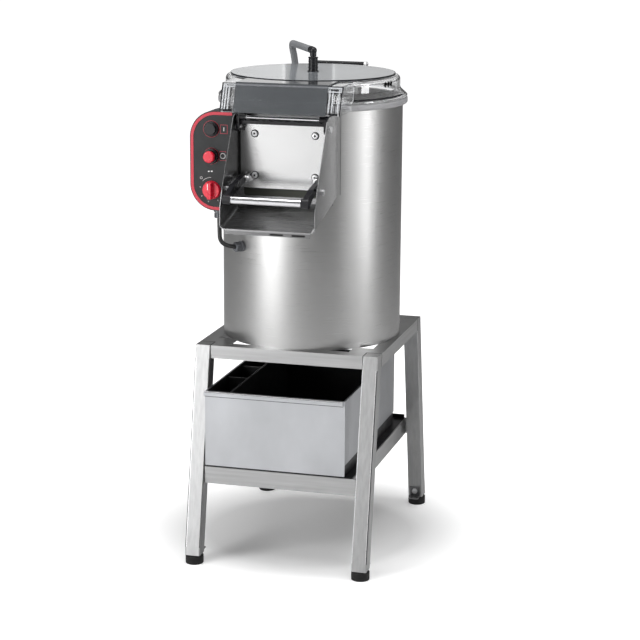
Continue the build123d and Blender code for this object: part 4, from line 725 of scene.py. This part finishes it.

# %% [markdown]
# ## A line and a skin for hoses
# A hose or cable is drawn by a few points. A NURBS spline of order three runs smoothly along them, and its
# length is the length of the real thing. A ring of vertices swept along that line gives the skin. A
# bevelled curve would do too.

# %% smooth lines and skins
def smooth_line(points, name):
    """points read from a spline that runs smoothly along the given ones"""
    curve = bpy.data.curves.new(name, "CURVE")
    curve.dimensions = "3D"
    curve.resolution_u = 16
    spline = curve.splines.new("NURBS")
    spline.points.add(len(points) - 1)
    for spot, place in zip(spline.points, points):
        spot.co = (*place, 1.0)
    spline.order_u = 3
    spline.use_endpoint_u = True
    holder = bpy.data.objects.new(name, curve)
    line = bpy.data.meshes.new_from_object(holder)
    places = [vertex.co.copy() for vertex in line.vertices]
    bpy.data.objects.remove(holder)
    bpy.data.meshes.remove(line)
    return places


def swept(name, places, radius, finish, sides=20):
    """a round skin along a line of places"""
    mesh = bmesh.new()
    rings = []
    across = None
    for index, place in enumerate(places):
        ahead = places[min(index + 1, len(places) - 1)] - places[max(index - 1, 0)]
        way = ahead.normalized()
        across = way.orthogonal() if across is None else across - way * across.dot(way)
        across.normalize()
        other = way.cross(across)
        rings.append([mesh.verts.new(place + (across * cos(turn) + other * sin(turn)) * radius)
                      for turn in (2 * pi * step / sides for step in range(sides))])
    for one, two in zip(rings, rings[1:]):
        for step in range(sides):
            mesh.faces.new((one[step], one[step - 1], two[step - 1], two[step]))
    mesh.faces.new(rings[0])
    mesh.faces.new(rings[-1])
    return keep_mesh(name, mesh, None, finish, smooth=True)


print("hose tools ready")

# %% [markdown]
# ## Water hose
# The hose leaves the elbow on the lid, bends over the back edge and runs down to the valve. It takes the
# place of the plain tube that came with the solids.

# %% water hose
def run_length(places):
    return sum((b - a).length for a, b in zip(places, places[1:]))


hose_route = [(-0.0082, 0.0162, 1.149), (-0.0821, 0.1449, 1.1483), (-0.108, 0.19, 1.148),
              (-0.1, 0.205, 1.098), (-0.096, 0.212, 0.985)]
hose_radius = 8.0 * mm
hose_places = smooth_line(hose_route, "hose_line")
hose = swept("hose_skin", hose_places, hose_radius, hose_grey)
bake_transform(hose)
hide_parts("water_hose")
print("hose", round(run_length(hose_places), 3), "m")

# %% [markdown]
# ## Control cable
# A black rubber cable hangs from the gland under the panel, turns back and enters the drum. Both ends are
# held by the machine, so the whole skin rides on it.

# %% control cable
cable_route = [(-0.16, -0.202, 0.822), (-0.16, -0.202, 0.778), (-0.1515, -0.2207, 0.721),
               (-0.113, -0.1646, 0.721)]
cable_radius = 4.9 * mm
cable_places = smooth_line(cable_route, "cable_line")
cable = swept("cable_skin", cable_places, cable_radius, cable_rubber, sides=16)
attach(cable, "machine")
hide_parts("control_cable")
print("cable", round(run_length(cable_places), 3), "m")

# %% [markdown]
# ## Rings turned on a lathe
# Round fittings carry small rings: collars moulded on the water inlet, a clamp where the hose meets the
# valve, a collar at the elbow. Each is a profile turned round an axis, as it would be on a lathe. A torus
# would be quicker but has no flat face, and here the eased edges catch a thin line of light.

# %% collars and clamp
def turned(name, body, finish, profile, foot, axis=(0.0, 0.0, 1.0), sides=40):
    """a closed profile of (radius, height) points turned round an axis that stands on foot"""
    mesh = bmesh.new()
    way = Vector(axis).normalized()
    across = way.orthogonal().normalized()
    other = way.cross(across)
    rings = []
    for step in range(sides):
        out = across * cos(2 * pi * step / sides) + other * sin(2 * pi * step / sides)
        ring = [mesh.verts.new(Vector(foot) + out * radius + way * height) for radius, height in profile]
        rings.append(ring)
    for one, two in zip(rings, rings[1:] + rings[:1]):
        for index in range(len(profile)):
            mesh.faces.new((one[index - 1], one[index], two[index], two[index - 1]))
    return keep_mesh(name, mesh, body, finish, smooth=True)


def band(inner, outer, height, edge=0.4 * mm):
    """profile of a flat ring with eased edges"""
    return [(inner, 0.0), (outer - edge, 0.0), (outer, edge), (outer, height - edge),
            (outer - edge, height), (inner, height)]


disc_top = high("lid_disc")[2]
for number, (rise, reach) in enumerate(((7.5, 11.6), (15.0, 11.3), (22.5, 11.3), (31.0, 11.8))):
    turned(f"inlet_ring_{number}", "lid", black_plastic, band(9.0 * mm, reach * mm, 1.8 * mm),
           (0.0, 0.0, disc_top + rise * mm))
hose_end, hose_before = hose_places[-1], hose_places[-4]
hose_way = hose_end - hose_before
turned("hose_clamp", "machine", turned_steel, band(7.6 * mm, 8.9 * mm, 9.0 * mm),
       hose_end - hose_way.normalized() * 12 * mm, axis=hose_way)
elbow_way = hose_places[1] - hose_places[0]
turned("elbow_collar", "lid", black_plastic, band(7.0 * mm, 8.4 * mm, 5.0 * mm), hose_places[0],
       axis=elbow_way)
print("collars turned")

# %% [markdown]
# ## Painted shade round the bolts, and rivets
# Each bolt of the door gets a dark ring round its head, a painted shadow where the head meets the plate,
# and a dark hexagon over its socket, painted shade in the recess. Their places are read from the bolts
# themselves. Three small rivets hold the chute's right cheek.

# %% bolt shades and rivets
def four_corners(node):
    """the middles of four equal heads that sit at the corners of a plate, seen from the front"""
    spots = [nodes[node].matrix_world @ vertex.co for vertex in nodes[node].data.vertices]
    centre = middle(node)
    for side in (-1, 1):
        for rise in (-1, 1):
            group = [spot for spot in spots
                     if (spot.x - centre[0]) * side > 0 and (spot.z - centre[2]) * rise > 0]
            across = [spot.x for spot in group]
            up = [spot.z for spot in group]
            yield (min(across) + max(across)) / 2, (min(up) + max(up)) / 2


bolt_head = 4 * mm
bolt_front = low("door_bolts")[1]
toward_front = (0.0, -1.0, 0.0)
# a dark ring round each bolt head is a painted shadow, a dark hexagon over its socket painted shade
for number, (x, z) in enumerate(four_corners("door_bolts")):
    turned(f"bolt_shade_ring_{number}", "door", bead_and_shade_black, band(4.0 * mm, 8.7 * mm, 0.8 * mm, edge=0.3 * mm),
           (x, bolt_front + bolt_head, z), axis=toward_front)
    turned(f"bolt_socket_shade_{number}", "door", bead_and_shade_black, band(0.1 * mm, 2.2 * mm, 0.3 * mm, edge=0.1 * mm),
           (x, bolt_front, z), axis=toward_front, sides=6)
cheek_face = 0.1069
rivet = band(0.1 * mm, 2.6 * mm, 1.2 * mm)
for number, (y, z) in enumerate(((-0.2615, 1.005), (-0.237, 1.002), (-0.301, 0.873))):
    turned(f"cheek_rivet_{number}", "machine", chrome, rivet, (cheek_face, y, z), axis=(1.0, 0.0, 0.0),
           sides=24)
print("bolt shades and rivets done")

# %% [markdown]
# ## Seams of the stand
# Where two tubes of the stand are welded and ground flush, a thin dark line stays. It follows the joint
# between leg and rail on the front, on top and on the side. These lines are what makes sheet metal look
# built rather than cast.

# %% seams of the stand
# the dark of the seams also paints shade: along the legs' edges, under the box's hem and behind the chute's
# slots
seam_and_shade_dark = moulded("seam and shade dark", (0.02, 0.02, 0.02), 0.6, depth=0.00001, specular=0.15)
weld_steel = brushed_steel("ground weld", (0.42, 0.42, 0.42), (500.0, 500.0, 60.0), (0.4, 0.55), 0.1)
leg_inner = 0.1785
leg_outer = high("top_rails")[0]
tube = 0.035
rail_depth = 0.03
rail_low = stand_high - rail_depth
lean = 0.089 / 0.4745
leg_deep = tube * (1 + lean**2) ** 0.5
leg_back = stand_front + leg_deep
seam_width, seam_rise = 1.9 * mm, 0.15 * mm


def on_rail_front(u, v, lift):
    return Vector((u, stand_front - lift, v))


def on_stand_top(u, v, lift):
    return Vector((u, v, stand_high + lift))


def on_right_side(u, v, lift):
    return Vector((leg_outer + lift, u, v))


front_seams = [[(side * leg_inner, rail_low), (side * leg_inner, stand_high)] for side in (-1, 1)]
along_seams = [[(side * leg_inner, stand_front), (side * leg_inner, leg_back)] for side in (-1, 1)]
cross_seams = [[(side * leg_inner, leg_back), (side * leg_outer, leg_back)] for side in (-1, 1)]
leg_back_low = leg_back - lean * rail_depth
side_seams = [[(end * leg_back_low, rail_low), (end * leg_back, stand_high)] for end in (-1, 1)]
for name, lines, wrap in (("rail_seams", front_seams, on_rail_front),
                          ("top_seams", along_seams + cross_seams, on_stand_top),
                          ("side_seams", side_seams, on_right_side)):
    strips(name, "machine", seam_and_shade_dark, [(line, seam_width) for line in lines], wrap, height=seam_rise)
print("stand seams:", len(front_seams + along_seams + cross_seams + side_seams))

# %% [markdown]
# ## Weld of the drum and joint of the chute
# The drum's sheet closes in an upright weld at the back. At the front right the chute's cheek is welded to
# the drum: a bright ground bead with a dark gap beside it.

# %% drum weld and cheek joint
drum_low, drum_high = low("drum_shell")[2], high("drum_shell")[2]
on_drum = round_wall(drum_radius)


def upright_on_drum(degrees, bottom, top):
    return [(radians(degrees) * drum_radius, bottom), (radians(degrees) * drum_radius, top)]


cheek_low, cheek_high = 0.849, 1.037
weld_line = upright_on_drum(90, drum_low, drum_high - 20 * mm)
seam_line = upright_on_drum(-57.6, cheek_low, cheek_high)
gap_line = upright_on_drum(-57.0, cheek_low, cheek_high)
strips("drum_weld", "machine", weld_steel, [(weld_line, 3.0 * mm)], on_drum, height=0.25 * mm)
strips("cheek_seam", "machine", weld_steel, [(seam_line, 1.8 * mm)], on_drum, height=0.4 * mm)
strips("cheek_gap", "machine", seam_and_shade_dark, [(gap_line, 0.8 * mm)], on_drum, height=0.3 * mm)
print("drum from", round(drum_low, 4), "to", round(drum_high, 4))

# %% [markdown]
# ## Edges of the legs
# A square tube has rounded corners. Each corner shows a thin bright line where it faces a lamp and a dark
# one where it turns away. The rounding is too small to catch the light from this distance, so narrow strips
# of dark and bright steel along the front legs make these lines clear.

# %% edges of the legs
def on_leg_front(u, v, lift):
    return Vector((u, stand_front - lean * (stand_high - v) - lift, v))


def leg_lines(edges):
    """lines from the foot to the rail, from pairs of (place, width)"""
    return [([(x, 0.04), (x, rail_low)], width) for x, width in edges]


dark_edges = [(-leg_outer + 0.9 * mm, 1.4 * mm), (-leg_inner - 1.0 * mm, 1.8 * mm),
              (leg_outer - 0.9 * mm, 2.0 * mm)]
bright_edges = [(-leg_outer + 2.6 * mm, 1.4 * mm), (leg_inner + 1.0 * mm, 1.8 * mm),
                (leg_outer - 2.8 * mm, 1.2 * mm)]
strips("leg_edges_dark", "machine", seam_and_shade_dark, leg_lines(dark_edges), on_leg_front, height=seam_rise)
strips("leg_edges_bright", "machine", turned_steel, leg_lines(bright_edges), on_leg_front, height=seam_rise)
print("leg edges:", len(dark_edges) + len(bright_edges))

# %% [markdown]
# ## Hem of the box and slots of the chute
# The filter box has a folded rim. A bright strip along its top is a painted highlight and a narrow dark
# strip below it a painted shadow. The turned-down edge of the chute has two slots, with painted shade
# behind them.

# %% box hem and chute slots
hem_low = box_high[2] - 11 * mm
box_left, box_right = box_low[0], box_high[0]


def on_box_rim(u, v, lift):
    return Vector((u, box_low[1] - lift + 0.3 * mm, v))


def on_box_front(u, v, lift):
    return Vector((u, box_low[1] + 5.0 * mm - lift, v))


def behind_hem(u, v, lift):
    return Vector((u, low("chute")[1] + 2.4 * mm - lift, v))


# a painted highlight along the top of the box's rolled rim
rim_highlight_line = [(box_left + 1 * mm, box_high[2] - 1.2 * mm), (box_right - 4 * mm, box_high[2] - 1.2 * mm)]
strips("hem_highlight", "filter_box", turned_steel, [(rim_highlight_line, 2.0 * mm)], on_box_rim, height=0.3 * mm)
shadow_line = [(box_left + 2 * mm, hem_low - 0.9 * mm), (box_right - 5 * mm, hem_low - 0.9 * mm)]
strips("hem_shadow", "filter_box", seam_and_shade_dark, [(shadow_line, 2.2 * mm)], on_box_front, height=0.3 * mm)
slot_half, slot_level = 15.5 * mm, 0.788
slot_lines = [([(x - slot_half, slot_level), (x + slot_half, slot_level)], 5.0 * mm) for x in (0.021, 0.07)]
strips("slot_shadows", "machine", seam_and_shade_dark, slot_lines, behind_hem, height=0.3 * mm)
print("slots:", len(slot_lines))

# %% [markdown]
# ## Studio floor
# The floor is one large pale sheet. Its white comes from a little glow that only the camera sees, so the
# lamps can stay modest and the machine still casts a soft shadow. Near the feet the glow fades out, which
# keeps the contact shadow.

# %% studio floor
def seen_share(material, glossy):
    """1 for rays from the camera or through clear plastic, less for mirrored rays, 0 for the rest"""
    path = add_node(material, "ShaderNodeLightPath")
    mirrored = add_node(material, "ShaderNodeMath", {1: glossy}, operation="MULTIPLY")
    direct = add_node(material, "ShaderNodeMath", operation="MAXIMUM")
    either = add_node(material, "ShaderNodeMath", operation="MAXIMUM")
    join(material, path.outputs["Is Glossy Ray"], mirrored.inputs[0])
    join(material, path.outputs["Is Camera Ray"], direct.inputs[0])
    join(material, path.outputs["Is Transmission Ray"], direct.inputs[1])
    join(material, direct.outputs["Value"], either.inputs[0])
    join(material, mirrored.outputs["Value"], either.inputs[1])
    return either.outputs["Value"]


floor_reach = 30
corners = [(-floor_reach, -floor_reach, 0), (floor_reach, -floor_reach, 0), (floor_reach, floor_reach, 0),
           (-floor_reach, floor_reach, 0)]
floor_mesh = bpy.data.meshes.new("floor")
floor_mesh.from_pydata(corners, [], [(0, 1, 2, 3)])
floor = bpy.data.objects.new("floor", floor_mesh)
scene.collection.objects.link(floor)
floor_paint, floor_shader = new_finish("floor paint", (0.82, 0.82, 0.82), 0.85)
floor_shader.inputs["Specular IOR Level"].default_value = 0.1
floor_shader.inputs["Emission Color"].default_value = (1.0, 1.0, 1.0, 1.0)

glow_start, glow_full, near_glow, mirror_share = 0.24, 0.56, 0.08, 0.05
floor_spot = add_node(floor_paint, "ShaderNodeTexCoord")
from_middle = add_node(floor_paint, "ShaderNodeVectorMath", operation="LENGTH")
distance_glow = add_node(floor_paint, "ShaderNodeMapRange", {
    "From Min": glow_start, "From Max": glow_full, "To Min": near_glow, "To Max": 1.0})
floor_glow = add_node(floor_paint, "ShaderNodeMath", operation="MULTIPLY")
join(floor_paint, floor_spot.outputs["Object"], from_middle.inputs[0])
join(floor_paint, from_middle.outputs["Value"], distance_glow.inputs["Value"])
join(floor_paint, distance_glow.outputs["Result"], floor_glow.inputs[0])
join(floor_paint, seen_share(floor_paint, mirror_share), floor_glow.inputs[1])
join(floor_paint, floor_glow.outputs["Value"], floor_shader.inputs["Emission Strength"])
floor.data.materials.append(floor_paint)
print("floor", 2 * floor_reach, "m wide")

# %% [markdown]
# ## Surroundings
# The world does the same as the floor: white behind the machine for the camera, a quiet grey for the light
# that it gives. That grey is a little stronger from the front than from the back.

# %% world
world = bpy.data.worlds.new("studio")
scene.world = world
world.use_nodes = True
sky = world.node_tree.nodes["Background"]
sky.inputs["Color"].default_value = (1.0, 1.0, 1.0, 1.0)
front_light, back_light = 0.17, 0.07
sky_way = add_node(world, "ShaderNodeTexCoord")
sky_split = add_node(world, "ShaderNodeSeparateXYZ")
sky_side = add_node(world, "ShaderNodeMapRange", {
    "From Min": -1.0, "From Max": 0.6, "To Min": front_light, "To Max": back_light})
sky_level = add_node(world, "ShaderNodeMix", {"B": 1.0}, data_type="FLOAT")
join(world, sky_way.outputs["Generated"], sky_split.inputs["Vector"])
join(world, sky_split.outputs["Y"], sky_side.inputs["Value"])
join(world, seen_share(world, mirror_share), sky_level.inputs["Factor"])
join(world, sky_side.outputs["Result"], sky_level.inputs["A"])
join(world, sky_level.outputs["Result"], sky.inputs["Strength"])
print("light from the front", front_light, "from the back", back_light)

# %% [markdown]
# ## Lamps
# Brushed steel shows its lamps as soft bands, so their directions matter more than their power. A wide
# softbox stands front left and makes the bright band. On the right a narrow one makes the second band and
# the sharp window in the clear hood, with a wider, weaker one beside it that softens the band's edge. A
# large one overhead fills the tops, and a low card in front lights the underside of the chute. Three small
# cards behind the machine put the pale reflections on top of the disc. They are split, because one long
# card would mirror as a bar.

# %% lamps
def softbox(name, place, size, power, target=(0.0, 0.0, 0.75)):
    """a rectangular lamp that faces its target; size in metres, power in watts"""
    lamp = bpy.data.lights.new(name, "AREA")
    lamp.shape = "RECTANGLE"
    lamp.size, lamp.size_y = size
    lamp.energy = power
    made = bpy.data.objects.new(name, lamp)
    made.location = place
    made.rotation_euler = (Vector(target) - Vector(place)).to_track_quat("-Z", "Y").to_euler()
    scene.collection.objects.link(made)


softbox("front_left_box", (-1.79, -2.41, 1.35), (1.5, 2.6), 72.0)
softbox("right_strip", (2.7, -0.2, 1.3), (0.6, 2.4), 25.0)
softbox("right_wide", (2.3, -1.05, 1.3), (0.9, 2.4), 7.0)
softbox("overhead_box", (0.2, -0.6, 3.2), (2.2, 2.2), 58.0)
softbox("low_front_card", (-0.86, -3.25, 0.5), (1.0, 0.6), 1.7, target=(0.0, -0.23, 0.93))
lid_middle = (0.0, 0.0, 1.1)
softbox("back_card_left", (-1.14, 2.9, 1.42), (0.42, 0.4), 0.36, target=lid_middle)
softbox("back_card_middle", (-0.83, 2.9, 1.43), (0.2, 0.4), 0.07, target=lid_middle)
softbox("back_card_right", (-0.52, 2.9, 1.42), (0.42, 0.4), 0.25, target=lid_middle)
scene.view_settings.view_transform = "Standard"
